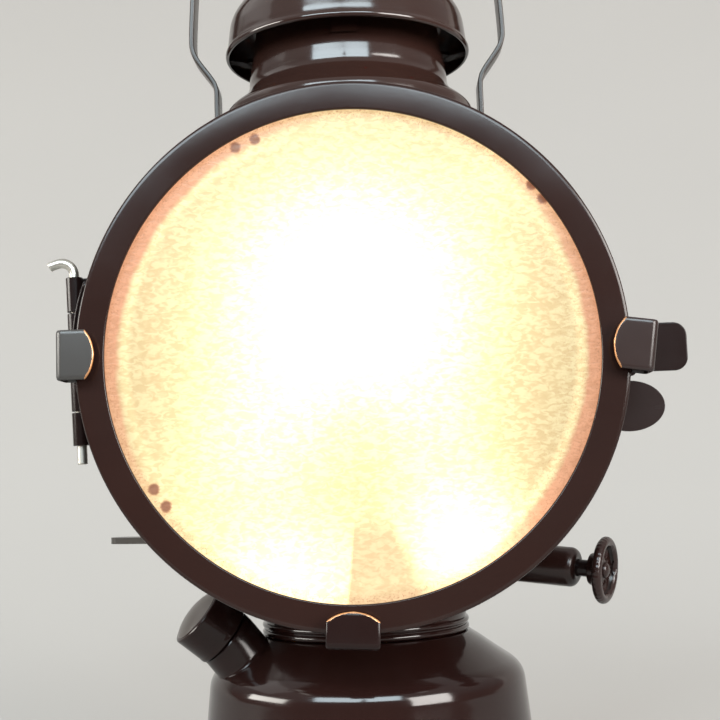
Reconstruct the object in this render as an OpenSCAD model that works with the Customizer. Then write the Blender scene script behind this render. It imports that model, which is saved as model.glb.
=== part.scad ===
// Conductor's hand lamp with a round hinged front door, a bail and an oil tank base.
// Millimetres. +Z up, front (the door) towards -Y, origin in the middle of the base's underside.

/* [Door] */
// Height of the middle of the round door above the base
ring_z = 150; // [149.8:0.1:150.2]
// Outer radius of the door ring
ring_r = 75.35; // [75.25:0.05:75.45]
// Radius of the opening in the door ring
ring_open_r = 67.4; // [66.8:0.1:67.8]
// Distance from the lamp's upright axis to the ring's front face
ring_face = 70; // [70:0.1:70.2]
// How far the ring's skirt reaches back from its face
ring_depth = 14; // [13.8:0.1:14.2]
// Radius of the front glass
glass_r = 71; // [70.6:0.1:71.2]
// Thickness of the front glass
glass_t = 3; // [2.6:0.1:3]
// Width of the strip that the clips are bent from
clip_w = 13.4; // [13:0.1:13.8]
// How far the clips' plates stand off the ring's face
clip_gap = 3.6; // [3:0.1:4]

/* [Body] */
// Outer radius of the upright body shell
body_r = 42; // [41.8:0.05:42.1]
// Sheet thickness of the body, horn, crown, hood and tank
sheet = 0.8; // [0.7:0.05:0.9]
// Radius of the short drum at the front of the horn
drum_r = 72.4; // [72:0.1:72.6]

/* [Chimney] */
// Outer radius of the chimney neck
neck_r = 32.8; // [32.6:0.1:33]
// Radius of the hood's mouth
hood_mouth_r = 40.5; // [40.4:0.1:40.8]
// Height of the hood's dome above its rim
hood_dome_h = 20; // [19:0.5:21]

/* [Bail] */
// Inner half width between the bail's lower arms
bail_low = 42.8; // [42.7:0.05:42.9]
// Inner half width where the arms stand out past the hood
bail_wide = 50.8; // [50:0.1:51.4]
// Width of the bail's strip
bail_w = 9; // [8:0.5:10]
// Thickness of the bail's strip
bail_t = 1.6; // [1.4:0.1:1.8]
// Height of the bail's pivot above the base
bail_z = 203; // [202:0.5:205]

/* [Tank] */
// Outer radius of the tank at its bottom
tank_r = 54.8; // [54:0.1:55.4]
// Outer radius of the filler cap
filler_r = 9.75; // [9.4:0.05:9.9]

/* [Wick knob] */
// Radius of the wick knob
knob_r = 9.7; // [9:0.1:10]
// Radius of the wick shaft
shaft_r = 2.45; // [2.4:0.05:2.5]

/* [Hinge] */
// Radius of the wire hinge pin
pin_r = 1.4; // [1.35:0.01:1.4]
// Outer radius of the hinge knuckles
knuckle_r = 2.45; // [2.4:0.05:2.6]

/* [Hidden] */
$fn = 96;
e = 0.01;

paint = [0.16, 0.145, 0.14];
zinc = [0.78, 0.78, 0.74];
brass = [0.78, 0.62, 0.32];

// Wick shaft: leaves the axis 27 degrees forward of +X and dips 5 degrees outwards.
shaft_az = -27;
shaft_dip = 5;
shaft_end = 81;
shaft_end_z = ring_z - 63.2;

// Filler: on the front-left shoulder, neck square to the shoulder, cap bent over further.
fill_az = 200.5;
neck_el = 52;
cap_el = 40;
neck_foot = [38.6, ring_z - 90.7];

// Hinge: wire pin leaning 2 degrees outwards at its top.
hinge_x = -79.2;
hinge_y = -50;
hinge_lean = 2;

// Shade lever: azimuth at rest and the turn it makes.
lever_az = 157;
lever_z = 96.8;
shade_turn = 90;

// Turns a profile of [radius, distance forward] about the door's level axis.
module front_lathe(fn = 160) {
  translate([0, 0, ring_z]) rotate([90, 0, 0]) rotate_extrude($fn = fn) children();
}
// Puts a piece drawn along +X (outwards) and +Z (along the axis) at an azimuth.
module at_az(a) { rotate([0, 0, a]) children(); }
// Frame of the wick shaft: +X outwards along the shaft, origin at the shaft's outer end.
module on_shaft() {
  at_az(shaft_az) translate([shaft_end, 0, shaft_end_z]) rotate([0, shaft_dip, 0]) children();
}
// Solid of revolution along the wick shaft, +Z outwards, 0 at the knob's face.
module shaft_lathe() { on_shaft() rotate([0, 90, 0]) children(); }
// Frame of the neck foot (+Z along the neck) and of the cap (+Z along the cap).
module on_neck() { at_az(fill_az) translate([neck_foot[0], 0, neck_foot[1]]) rotate([0, 90 - neck_el, 0]) children(); }
neck_len = 9.2;
bend_r = 14;
bend_h = bend_r * tan((neck_el - cap_el) / 2);
module on_cap() {
  on_neck() translate([0, 0, neck_len]) translate([bend_r, 0, 0]) rotate([0, neck_el - cap_el, 0]) translate([-bend_r, 0, 0]) children();
}
// Frame of the hinge: +Z along the pin, origin at the pin at the door's middle height.
module on_hinge() { translate([hinge_x, hinge_y, ring_z]) rotate([0, -hinge_lean, 0]) children(); }
// Low domed rivet head along +Z.
module dome_head(r, h) { rotate_extrude($fn = 32) polygon(concat([[0, 0], [r, 0]], [for (i = [1:6]) [r * cos(i * 15), h * sin(i * 15)]])); }

// ---------------------------------------------------------------- body

// Upright body shell with the horn's opening, the lever's slot and the pivot holes.
module housing_shell() color(paint) difference() {
  translate([0, 0, 80.7]) cylinder(r = body_r, h = 147.3);
  translate([0, 0, 80]) cylinder(r = body_r - sheet, h = 149);
  translate([0, -20, ring_z]) rotate([90, 0, 0]) cylinder(r = 40, h = 40);
  // slot for the shade's lever, 100 degrees long at the back
  translate([0, 0, lever_z - 2]) rotate([0, 0, lever_az - shade_turn - 6]) rotate_extrude(angle = shade_turn + 12)
    translate([body_r - 3, 0]) square([6, 4]);
  at_az(shaft_az) translate([shaft_end, 0, shaft_end_z]) rotate([0, shaft_dip, 0]) rotate([0, -90, 0]) cylinder(r = 5.9, h = 60);
  for (s = [-1, 1]) translate([s * body_r, 0, bail_z]) rotate([0, 90, 0]) cylinder(r = 2.6, h = 6, center = true);
}

// Horn: collar on the body shell, cone, and the short drum that the door closes over.
module front_horn() color(paint) difference() {
  front_lathe() polygon([[40, 18], [40.8, 18], [41.6, 21.5], [drum_r, 47], [drum_r, 62.2], [drum_r - sheet, 62.2],
    [drum_r - sheet, 47.4], [41, 22.2], [40, 20]]);
  cylinder(r = body_r + e, h = 400);
}

// Annular bottom of the lamp body, with its upturned rim outside the shell.
module body_base_plate() color(paint) rotate_extrude() polygon([[30.5, 79.3], [42.3, 79.3], [42.9, 79.9], [42.9, 82],
  [42.1, 82], [42.1, 80.6], [30.5, 80.6]]);

crown_pts = [[42, 228], [41.6, 230.2], [41, 232.6], [40.75, 234.6], [40.55, 235.6], [40.1, 236.3], [39.05, 237.4], [36.9, 239],
  [35.3, 240.4], [34.1, 241.9], [33.3, 243.4], [neck_r + 0.05, 245.2], [neck_r - 0.05, 247.2], [neck_r - 0.4, 249.4], [neck_r - 2.6, 264]];
// Flared crown and chimney neck, spun in one piece, with a lap inside the body shell.
module crown() color(paint) rotate_extrude() polygon(concat(crown_pts,
  [for (i = [14:-1:1]) [crown_pts[i][0] - 0.85, crown_pts[i][1] - (i > 3 && i < 10 ? 0.6 : 0)]],
  [[40.35, 229.6], [40.35, 222], [41.15, 222], [41.15, 228]]));

// Three bent strips that carry the hood on the neck.
module hood_brackets() color(paint) for (a = [30, 150, 270]) at_az(a) {
  intersection() {
    translate([0, 0, 253]) difference() {
      cylinder(r1 = neck_r + 0.5, r2 = neck_r - 0.85, h = 9);
      translate([0, 0, -0.3]) cylinder(r1 = neck_r - 0.555, r2 = neck_r - 1.995, h = 9.6);
    }
    translate([20, -4, 253]) cube([20, 8, 9]);
  }
  translate([neck_r - 0.9, -4, 260.8]) cube([38.1 - neck_r + 0.9, 8, 1.2]);
}

hood_rim_z = 263.5;
hood_pts = concat([[hood_mouth_r - 0.75, 254.9], [hood_mouth_r - 0.25, 255.25], [hood_mouth_r, 255.9], [hood_mouth_r - 0.05, 256.6],
  [hood_mouth_r - 0.35, 257.2], [39.75, 257.9], [39.6, 259.4], [39.38, 261.2], [39.1, hood_rim_z]],
  [for (i = [1:13]) let (a = i * 90 / 14) [39 * cos(a), hood_rim_z + hood_dome_h * sin(a)]], [[1.6, hood_rim_z + hood_dome_h]]);
// Domed hood with a beaded brim.
module chimney_hood() color(paint) rotate_extrude() polygon(concat(hood_pts,
  [[1.6, hood_rim_z + hood_dome_h - sheet]],
  [for (i = [12:-1:1]) let (a = i * 90 / 14) [38.15 * cos(a), hood_rim_z + (hood_dome_h - sheet) * sin(a)]],
  [[38.2, hood_rim_z], [38.5, 261.2], [38.7, 259.4], [38.85, 258], [39.3, 257.2], [39.5, 256], [39.3, 254.9]]));

// Disc under the hood that keeps the heat off it, and the stem that holds it.
module heat_baffle() color(zinc) rotate_extrude() polygon([[1.6, 274.8], [20, 273], [21, 272.2], [21.6, 272.7], [20.4, 274], [1.6, 275.8]]);
module hood_rivet() color(paint) {
  translate([0, 0, 273.4]) cylinder(r = 1.5, h = hood_rim_z + hood_dome_h + 0.1 - 273.4, $fn = 32);
  translate([0, 0, hood_rim_z + hood_dome_h]) dome_head(3, 1.3);
  translate([0, 0, 272.2]) cylinder(r = 3.2, h = 1.4, $fn = 32);
  translate([0, 0, 276]) cylinder(r = 3, h = hood_rim_z + hood_dome_h - sheet - 0.1 - 276, $fn = 32);
}

// Beaded collar that joins the lamp body to the tank.
module collar() color(paint) rotate_extrude() polygon(concat([[32.1, 79.1], [32.3, 78.9], [32.1, 72.2]],
  [for (i = [-3:3]) [32 + 0.95 * cos(i * 30), 70.7 - 0.95 * sin(i * 30)]],
  [for (i = [-3:3]) [32 + 0.95 * cos(i * 30), 68.5 - 0.95 * sin(i * 30)]],
  [[31.9, 67.4], [31.2, 67.4], [31.2, 79.1]]));

tank_pts = [[33.2, 67.3], [36.9, 64.8], [39.5, 62.9], [42.2, 61], [44.9, 59.2], [46.8, 57.6], [48.1, 55.8], [48.7, 53.7], [49.05, 52],
  [50.4, 39.1], [tank_r - 0.2, 2.4]];
// Tank: sloping shoulder, rounded edge and slightly conical wall, hollow.
module tank_shell() color(paint) difference() {
  rotate_extrude() polygon(concat([[21, 67.3]], tank_pts, [[tank_r - 0.2 - sheet, 2.4]],
    [for (i = [9:-1:1]) [tank_pts[i][0] - sheet, tank_pts[i][1] - (i < 8 ? 0.6 : 0)]], [[33, 66.4], [21, 66.4]]));
  on_neck() translate([0, 0, -4]) cylinder(r = 7.4, h = 20);
  translate([0, tank_r - 6, 12]) rotate([-90, 0, 0]) cylinder(r = 4, h = 12);
}
// Tank bottom: flat panel, shallow groove, and the folded seam that the tank's wall stands in.
module tank_bottom() color(paint) rotate_extrude() polygon([[0, 0], [tank_r - 7, 0], [tank_r - 6.2, 0.9], [tank_r - 3.4, 0.9], [tank_r - 2.6, 0], [tank_r + 0.1, 0], [tank_r + 0.5, 0.5], [tank_r + 0.5, 3.2],
  [tank_r - 0.1, 3.4], [tank_r - 0.1, 2.2], [tank_r - 1.2, 2.2], [tank_r - 1.8, 1.8], [tank_r - 6.4, 1.8], [tank_r - 7.2, 0.9], [0, 0.9]]);

// Filler neck: square to the shoulder, then bent over to the cap, with the spout inside it.
module filler_neck() color(paint) difference() {
  union() {
    on_neck() translate([0, 0, -5]) cylinder(r = 9.3, h = neck_len + 5 + bend_h);
    on_neck() translate([0, 0, neck_len + bend_h]) sphere(r = 9.42);
    on_cap() translate([0, 0, -bend_h]) cylinder(r = 7.9, h = 7.5 + bend_h);
  }
  on_neck() translate([0, 0, -6]) cylinder(r = 6.7, h = neck_len + 6 + bend_h);
  on_neck() translate([0, 0, neck_len + bend_h]) sphere(r = 7);
  on_cap() translate([0, 0, -bend_h]) cylinder(r = 6.7, h = 12);
  // the top is cut flat under the cap, outside the spout
  on_cap() difference() { cylinder(r = 12, h = 12); translate([0, 0, -1]) cylinder(r = 7.9, h = 14); }
  // the foot is cut to sit on the shoulder
  rotate_extrude() polygon([[20, 66.3], [33, 67.35], [36.95, 64.85], [39.55, 62.95], [42.25, 61.05], [44.95, 59.25], [46.85, 57.65],
    [48.15, 55.85], [48.75, 53.75], [49.1, 52], [50.5, 39], [20, 39]]);
}

// ---------------------------------------------------------------- light

// Burner base kept as a pedestal: flange on the tank top, drum, perforated deck.
module burner_base() color(brass) difference() {
  union() {
    rotate_extrude() polygon([[6, 67.5], [30.2, 67.5], [30.2, 69], [26, 70.4], [22.5, 76], [22, 84], [22, 100], [20.5, 101.5], [6, 101.5],
      [6, 100.4], [20, 100.4], [20.9, 99.6], [20.9, 84], [21.4, 76], [24.6, 69.6], [6, 69]]);
  }
  shaft_lathe() translate([0, 0, -90]) cylinder(r = 2.9, h = 85, $fn = 32);
  for (a = [0:45:315]) at_az(a) translate([14.5, 0, 99]) cylinder(r = 2.4, h = 5, $fn = 24);
  translate([0, 0, 60]) cylinder(r = 5.2, h = 60);
}
// Threaded tube that clamps the lampholder to the pedestal and carries the lead.
module threaded_tube() color(zinc) difference() {
  union() {
    translate([0, 0, 50]) cylinder(r = 5, h = 60);
    translate([0, 0, 95.6]) cylinder(r = 8, h = 4.6, $fn = 6);
    translate([0, 0, 62.7]) cylinder(r = 8, h = 4.6, $fn = 6);
  }
  translate([0, 0, 49]) cylinder(r = 3.6, h = 62);
}
// Lampholder standing on the pedestal.
module lampholder() color([0.86, 0.84, 0.79]) difference() {
  rotate_extrude() polygon([[5.2, 101.7], [15, 101.7], [17, 103.5], [17, 108], [15.6, 109.5], [15.6, 125], [16.6, 126], [16.6, 129], [13.9, 129], [13.9, 112.5], [5.2, 112.5]]);
}
// Bulb: metal cap, glass and light element.
module bulb_cap() color(brass) rotate_extrude() polygon([[0, 113], [4.5, 113], [6, 115], [13.2, 117.5], [13.2, 133.5], [13.8, 134.5], [0, 134.5]]);
bulb_z = 163;
bulb_r = 22.5;
module bulb_glass() color([0.97, 0.95, 0.9, 0.6]) difference() {
  rotate_extrude() polygon(concat([[0, 134.7], [13.4, 134.7], [14, 137]], [for (a = [-48:6:84]) [bulb_r * cos(a), bulb_z + bulb_r * sin(a)]], [[0, bulb_z + bulb_r]]));
  rotate_extrude() polygon(concat([[0, 135.7], [12.4, 135.7], [13, 137.4]], [for (a = [-47:6:85]) [(bulb_r - 0.9) * cos(a), bulb_z + (bulb_r - 0.9) * sin(a)]], [[0, bulb_z + bulb_r - 0.9]]));
}
module bulb_element() color([1, 0.93, 0.75]) {
  translate([0, 0, 135.9]) cylinder(r = 3.2, h = 14, $fn = 32);
  for (a = [0:90:270]) at_az(a) translate([6, 0, 148]) rotate([0, 8, 0]) cylinder(r = 0.9, h = 28, $fn = 16);
  translate([0, 0, 148.3]) cylinder(r = 7.4, h = 1, $fn = 32);
}
// Lead inside the lamp, from the bush in the tank wall up through the threaded tube.
module inner_lead() color([0.75, 0.72, 0.66]) {
  translate([0, 0, 22]) cylinder(r = 2.3, h = 90, $fn = 24);
  translate([0, 10, 22]) rotate([90, 0, 90]) rotate([0, 0, 180]) rotate_extrude(angle = 90, $fn = 48) translate([10, 0]) circle(r = 2.3, $fn = 24);
  translate([0, 10, 12]) rotate([-90, 0, 0]) cylinder(r = 2.3, h = 42.3, $fn = 24);
}
// Bush in the tank wall at the back, where the lead comes in.
module cable_bush() color([0.12, 0.12, 0.12]) translate([0, 0, 12]) rotate([-90, 0, 0]) difference() {
  union() {
    translate([0, 0, 50.4]) cylinder(r = 3.9, h = 6);
    translate([0, 0, 54.4]) cylinder(r = 6.5, h = 2.4);
    translate([0, 0, 56.7]) cylinder(r1 = 5.8, r2 = 4.4, h = 3.6);
    translate([0, 0, 49]) cylinder(r = 6.2, h = 2.2);
  }
  translate([0, 0, 52.8]) cylinder(r = 2.7, h = 12);
  translate([0, 0, 40]) cylinder(r = 2.35, h = 13);
}
// Dished reflector at the back and the strip that carries it.
module reflector() color([0.85, 0.84, 0.8]) translate([0, 36, 163]) rotate([90, 0, 0]) rotate_extrude() polygon(concat(
  [for (i = [0:8]) [i * 3.5, 15 * pow(i / 8, 2)]], [[29.3, 15.2], [29.3, 16], [28.2, 16.2]], [for (i = [8:-1:0]) [i * 3.5, 15 * pow(i / 8, 2) + 0.8]]));
module reflector_bracket() color(paint) {
  translate([-5, 36.3, 160]) cube([10, 1.1, 62]);
  translate([-5, 36.3, 220.8]) cube([10, 4, 1.2]);
  translate([-5, 39.1, 213]) cube([10, 1.1, 9]);
  translate([0, 37.3, 163]) rotate([-90, 0, 0]) dome_head(2.6, 1.2);
}

// ---------------------------------------------------------------- fixed outside pieces

// Sleeve tube for the wick shaft, soldered into the body shell, with a rounded nose.
module shaft_sleeve() color(paint) difference() {
  shaft_lathe() rotate_extrude() polygon(concat([[shaft_r + 0.08, -9.4], [3.2, -9.4]], [for (i = [0:6]) [3.2 + 2.6 * sin(i * 15), -12 + 2.6 * cos(i * 15)]],
    [[5.8, -41.3], [4.2, -41.3], [4.2, -15], [shaft_r + 0.08, -15]]));
  cylinder(r = body_r - sheet - 0.4, h = 200);
}
// Body half of the hinge: leaf plates on the drum and two knuckles.
module body_hinge_leaf() color(paint) {
  difference() {
    union() {
      on_hinge() for (z = [[16.2, 10.1], [-22.2, 9.4]]) translate([0, 0, z[0]]) {
        cylinder(r = knuckle_r, h = z[1], $fn = 48);
        translate([0, 1.1, 0]) cube([11, 1.1, z[1]]);
      }
      // foot of the leaf, following the drum's side
      intersection() {
        front_lathe() polygon([[drum_r + 0.05, 44.4], [drum_r + 1.05, 44.4], [drum_r + 1.05, 55.2], [drum_r + 0.05, 55.2]]);
        translate([-90, -60, ring_z - 24]) cube([30, 20, 53]);
      }
    }
    on_hinge() translate([0, 0, -40]) cylinder(r = pin_r + 0.06, h = 80, $fn = 48);
    // clear of the drum itself
    translate([0, 0, ring_z]) rotate([90, 0, 0]) cylinder(r = drum_r + 0.03, h = 70, $fn = 160);
  }
}
// Bright wire pin, bent over to the left at its top.
module hinge_pin() color(zinc) on_hinge() {
  translate([0, 0, -27.2]) cylinder(r = pin_r, h = 55.2, $fn = 32);
  translate([0, 0, -27.9]) cylinder(r1 = pin_r - 0.6, r2 = pin_r, h = 0.7, $fn = 32);
  translate([-3.4, 0, 28]) rotate([90, 0, 0]) rotate_extrude(angle = 96, $fn = 64) translate([3.4, 0]) circle(r = pin_r, $fn = 32);
  translate([-3.4, 0, 28]) rotate([90, 0, 0]) rotate([0, 0, 96]) translate([3.4, 0, 0]) rotate([-90, 0, 0]) cylinder(r = pin_r, h = 3.2, $fn = 32);
}
module hinge_rivets() color(paint) for (a = [172.5, 184.5]) translate([0, -47, ring_z]) rotate([0, -a, 0])
  translate([drum_r + 1.1, 0, 0]) rotate([0, 90, 0]) dome_head(1.5, 0.8);
// Rounded tab on the drum, under the door's tab: the thumb's counterpart.
module body_thumb_tab() color(paint) {
  difference() {
    translate([0, -51.2, 0]) rotate([90, 0, 0]) linear_extrude(1.2) difference() {
      translate([77.4, ring_z - 16.25]) intersection() {
        scale([10, 7.15]) circle(r = 1, $fn = 64);
        translate([-8, -8]) square([30, 16]);
      }
      translate([0, ring_z]) circle(r = drum_r + 0.05, $fn = 160);
    }
  }
  intersection() {
    front_lathe() polygon([[drum_r + 0.05, 44], [drum_r + 1.15, 44], [drum_r + 1.15, 52.4], [drum_r + 0.05, 52.4]]);
    translate([60, -60, ring_z - 22.4]) cube([20, 20, 12.8]);
  }
}
// Shouldered studs on the body's sides that the bail swings on.
module bail_pivots() color(paint) for (s = [0, 180]) rotate([0, 0, s]) translate([0, 0, bail_z]) rotate([0, 90, 0]) {
  translate([0, 0, body_r - 1.7]) cylinder(r = 2.5, h = bail_low + bail_t + 0.3 - body_r + 1.7, $fn = 48);
  translate([0, 0, body_r - sheet - 1.4]) cylinder(r = 4.6, h = 1, $fn = 48);
  translate([0, 0, bail_low + bail_t + 0.3]) dome_head(4.2, 1.8);
}
// Ledge ring inside the shell on which the shade's carrier turns.
module shade_track() color(paint) difference() {
  rotate_extrude() polygon([[37, 93.9], [body_r - sheet - 0.05, 93.9], [body_r - sheet - 0.05, 88.5], [40.4, 88.5], [40.4, 92.9], [37, 92.9]]);
  shaft_lathe() translate([0, 0, -60]) cylinder(r = 6.2, h = 40);
}

// ---------------------------------------------------------------- door

// Door ring: flat face, rounded outer edge, skirt that closes over the drum.
module door_ring() color(paint) front_lathe() polygon(concat(
  [[ring_open_r, ring_face - 0.9], [ring_open_r, ring_face - 0.3], [ring_open_r + 0.3, ring_face]],
  [for (i = [0:8]) [ring_r - 2 + 2 * sin(i * 11.25), ring_face - 2 + 2 * cos(i * 11.25)]],
  [[ring_r, ring_face - ring_depth], [ring_r - 1, ring_face - ring_depth], [ring_r - 1, ring_face - 2], [ring_r - 1.6, ring_face - 1.1], [ring_r - 2.2, ring_face - 0.9]]));
// Front glass.
module front_glass() color([1, 0.93, 0.72, 0.7]) translate([0, -ring_face + 2 + glass_t, ring_z]) rotate([90, 0, 0]) cylinder(r = glass_r, h = glass_t, $fn = 160);
// Fibre ring between glass and door ring.
module glass_gasket() color([0.3, 0.27, 0.24]) front_lathe() polygon([[68.6, ring_face - 1.95], [72.2, ring_face - 1.95], [72.2, ring_face - 0.95], [68.6, ring_face - 0.95]]);
// Four small double-ended clips that hold the glass from behind.
module glass_clips() color(zinc) for (a = [39.3, 115.2, 215.3, 320]) translate([0, 0, ring_z]) rotate([0, -a, 0]) {
  translate([65.8, -ring_face + 2.05 + glass_t, -4.6]) cube([7.9, 0.9, 9.2]);
  for (s = [-1, 1]) translate([66.9, -ring_face + 2.95 + glass_t, s * 2.6]) rotate([-90, 0, 0]) cylinder(r = 1.1, h = 0.7, $fn = 24);
  translate([72.9, -ring_face + 2.05 + glass_t, -4.6]) cube([0.8, 2.4, 9.2]);
}
// Outline of one clip's front plate, outwards along +X, with an arc at its inner end.
module clip_outline(w, tip) {
  intersection() {
    translate([tip, -w / 2]) square([12.4, w]);
    translate([tip + 0.75 * w, 0]) circle(r = 0.75 * w, $fn = 64);
  }
  translate([tip + 0.5 * w, -w / 2]) square([12.4 - 0.5 * w, w]);
}
// One slip-in clip: front plate, rounded bend, a leg back beside the ring and a foot on its skirt.
module filter_clip(w, reach, skew, tip) {
  y0 = ring_face + clip_gap;
  difference() {
    translate([75, 0, 0]) rotate([0, -skew, 0]) translate([-75, 0, 0]) {
      rotate([90, 0, 0]) translate([0, 0, y0]) linear_extrude(1.1) intersection() { clip_outline(w, tip); translate([60, -20]) square([reach - 1.9 - 60, 40]); }
      translate([reach - 1.9, -y0 + 0.8, 0]) rotate([0, 0, -90]) translate([0, 0, -w / 2]) rotate_extrude(angle = 90, $fn = 48) translate([0.8, 0]) square([1.1, w]);
      translate([reach - 1.1, -y0 + 0.8, -w / 2]) cube([1.1, 7.6, w]);
      translate([ring_r - 1.2, -y0 + 8.2, -w / 2]) cube([reach - ring_r + 1.2, 1.1, w]);
      translate([ring_r - 3, -y0 + 9.1, -w / 2]) cube([4.2, 7.4, w]);
    }
    rotate([90, 0, 0]) translate([0, 0, 40]) cylinder(r = ring_r + 0.02, h = ring_face - 40 + 0.1, $fn = 160);
  }
}
// Angle on the ring, strip width, outermost reach, skew and inner tip of each clip.
clips = [[178.9, clip_w + 0.1, 79.6, 0.9, 69.05], [-0.5, clip_w + 0.5, 81.4, -7.8, 69.75], [268.5, clip_w + 0.9, 78.8, -1.3, 68.7]];
module placed_clip(i) translate([0, 0, ring_z]) rotate([0, -clips[i][0], 0]) children();
module left_clip() color(paint) placed_clip(0) filter_clip(clips[0][1], clips[0][2], clips[0][3], clips[0][4]);
module right_clip() color(paint) placed_clip(1) filter_clip(clips[1][1], clips[1][2], clips[1][3], clips[1][4]);
module bottom_clip() color(paint) placed_clip(2) filter_clip(clips[2][1], clips[2][2], clips[2][3], clips[2][4]);
// Rivets through the clips' feet into the skirt.
module clip_rivets() color(paint) for (i = [0:2]) placed_clip(i) translate([75, 0, 0]) rotate([0, -clips[i][3], 0]) for (s = [-3.4, 3.4])
  translate([ring_r + 1.22 - 75, -ring_face - clip_gap + 13, s]) rotate([0, 90, 0]) dome_head(1.4, 0.8);
// Door half of the hinge: curved lug plate behind the ring and the middle knuckle.
module door_hinge_plate() color(paint) {
  difference() {
    union() {
      on_hinge() translate([0, 0, -12.4]) cylinder(r = knuckle_r, h = 28.2, $fn = 48);
      on_hinge() translate([-0.2, -2.45, -12.4]) cube([6.4, 1, 28.2]);
      // lug plate
      translate([0, -ring_face + ring_depth + 0.1 + 1.0, 0]) rotate([90, 0, 0]) linear_extrude(1.0) intersection() {
        translate([-22.6, ring_z + 4.5]) circle(r = 57, $fn = 120);
        difference() { translate([0, ring_z]) circle(r = 90); translate([0, ring_z]) circle(r = ring_r - 0.9, $fn = 160); }
        translate([-90, ring_z - 7.4]) square([40, 31.6]);
      }
      for (q = [[-75.4, 23], [-77.4, -6.2]]) translate([q[0], -ring_face + ring_depth + 0.15, ring_z + q[1]]) rotate([90, 0, 0]) dome_head(1, 0.7);
      on_hinge() translate([1.4, -ring_face + ring_depth + 0.12 - hinge_y, -7]) cube([3.4, 3.6, 22.8]);
    }
    on_hinge() translate([0, 0, -40]) cylinder(r = pin_r + 0.06, h = 80, $fn = 48);
    translate([0, 0, ring_z]) rotate([90, 0, 0]) cylinder(r = drum_r + 1.5, h = 70, $fn = 160);
  }
}
// Rounded thumb tab on the door, bent out from the skirt's back edge.
module door_thumb_tab() color(paint) {
  translate([0, -ring_face + ring_depth, 0]) rotate([90, 0, 0]) linear_extrude(1.05) difference() {
    translate([0, ring_z - 0.2]) union() {
      translate([70, -6.8]) square([19.65, 13.6]);
      translate([89.65, -3]) square([3.8, 6]);
      for (s = [-1, 1]) translate([89.65, s * 3]) circle(r = 3.8, $fn = 48);
    }
    translate([0, ring_z]) circle(r = ring_r + 0.02, $fn = 160);
  }
  translate([77.4, -ring_face + ring_depth, ring_z - 6.6]) rotate([90, 0, 0]) cylinder(r = 1.5, h = 1.05, $fn = 32);
  // its foot, bent along the skirt under the tab
  intersection() {
    front_lathe() polygon([[ring_r + 0.02, ring_face - ring_depth], [ring_r + 1.02, ring_face - ring_depth], [ring_r + 1.02, ring_face - ring_depth + 5], [ring_r + 0.02, ring_face - ring_depth + 5]]);
    union() {
      translate([60, -ring_face + ring_depth - 6, ring_z - 17.7]) cube([20, 8, 8.95]);
      translate([60, -ring_face + ring_depth - 0.9, ring_z - 9]) cube([20, 2, 5]);
    }
  }
}
module door_rivets() color(paint) translate([0, 0, ring_z]) {
  for (s = [-1, 1]) translate([78.6, -ring_face + ring_depth - 1.1, s * 4]) rotate([90, 0, 0]) dome_head(1.3, 0.7);
}

// ---------------------------------------------------------------- bail

bail_mid = [[bail_low, bail_z], [bail_low, ring_z + 95.4], [bail_low + 0.5, ring_z + 97.6], [bail_wide - 0.9, ring_z + 106.4], [bail_wide, ring_z + 109.4], [bail_wide - 0.1, ring_z + 111.4]];
top_half = 48.2;
top_z = ring_z + 150;
arch = 34;
// Inner line of one half of the bail, from the pivot to the top's middle.
bail_in = concat(bail_mid, [[top_half, top_z]], [for (i = [1:9]) [top_half - arch + arch * cos(i * 10), top_z + arch * sin(i * 10)]]);
function side(p, q) = let (d = [q[0] - p[0], q[1] - p[1]], l = norm(d)) [d[1] / l, -d[0] / l];
function bail_norm(i) = i == 0 ? [1, 0] : i == len(bail_in) - 1 ? [0, 1] : let (a = side(bail_in[i - 1], bail_in[i]), b = side(bail_in[i], bail_in[i + 1]), m = a + b) m / norm(m);
bail_out = [for (i = [0:len(bail_in) - 1]) bail_in[i] + bail_t * bail_norm(i)];
module bail_half() polygon(concat([for (i = [0:len(bail_in) - 1]) bail_in[i]], [[-0.02, top_z + arch]], [[-0.02, top_z + arch + bail_t]], [for (i = [len(bail_out) - 1:-1:0]) bail_out[i]]));
module bail() color([0.2, 0.19, 0.18]) difference() {
  union() {
    translate([0, bail_w / 2, 0]) rotate([90, 0, 0]) linear_extrude(bail_w) { bail_half(); mirror([1, 0]) bail_half(); }
    for (s = [-1, 1]) translate([s * (bail_low + bail_t / 2), 0, bail_z]) rotate([0, 90, 0]) cylinder(r = bail_w / 2, h = bail_t, center = true, $fn = 64);
  }
  translate([0, 0, bail_z]) rotate([0, 90, 0]) cylinder(r = 2.57, h = 120, center = true, $fn = 48);
}

// ---------------------------------------------------------------- wick knob

module wick_shaft() color(paint) shaft_lathe() translate([0, 0, -69]) cylinder(r = shaft_r, h = 67.6, $fn = 48);
// Knob: dished disc with a rolled rim, five hollows and a hub behind.
module wick_knob() color(paint) shaft_lathe() difference() {
  rotate_extrude() polygon(concat([[shaft_r + 0.02, -5.8], [4.2, -5.8], [4.7, -5.3], [4.7, -3.4], [5.2, -3]],
    [[knob_r - 1.6, -2.9]], [for (i = [-2:2]) [knob_r - 1.5 + 1.5 * cos(i * 45), -1.45 + 1.45 * sin(i * 45)]],
    [[knob_r - 2.4, -1.1], [3.6, -1.3], [2.9, -0.7], [shaft_r + 0.02, -0.7]]));
  for (a = [0:72:288]) rotate([0, 0, a + 18]) translate([5.5, 0, -2.2]) cylinder(r = 1.35, h = 4, $fn = 24);
}
module knob_rivet() color(paint) shaft_lathe() translate([0, 0, -1.35]) { cylinder(r = 2.3, h = 0.7, $fn = 32); translate([0, 0, 0.7]) dome_head(2.1, 1); }
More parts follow.
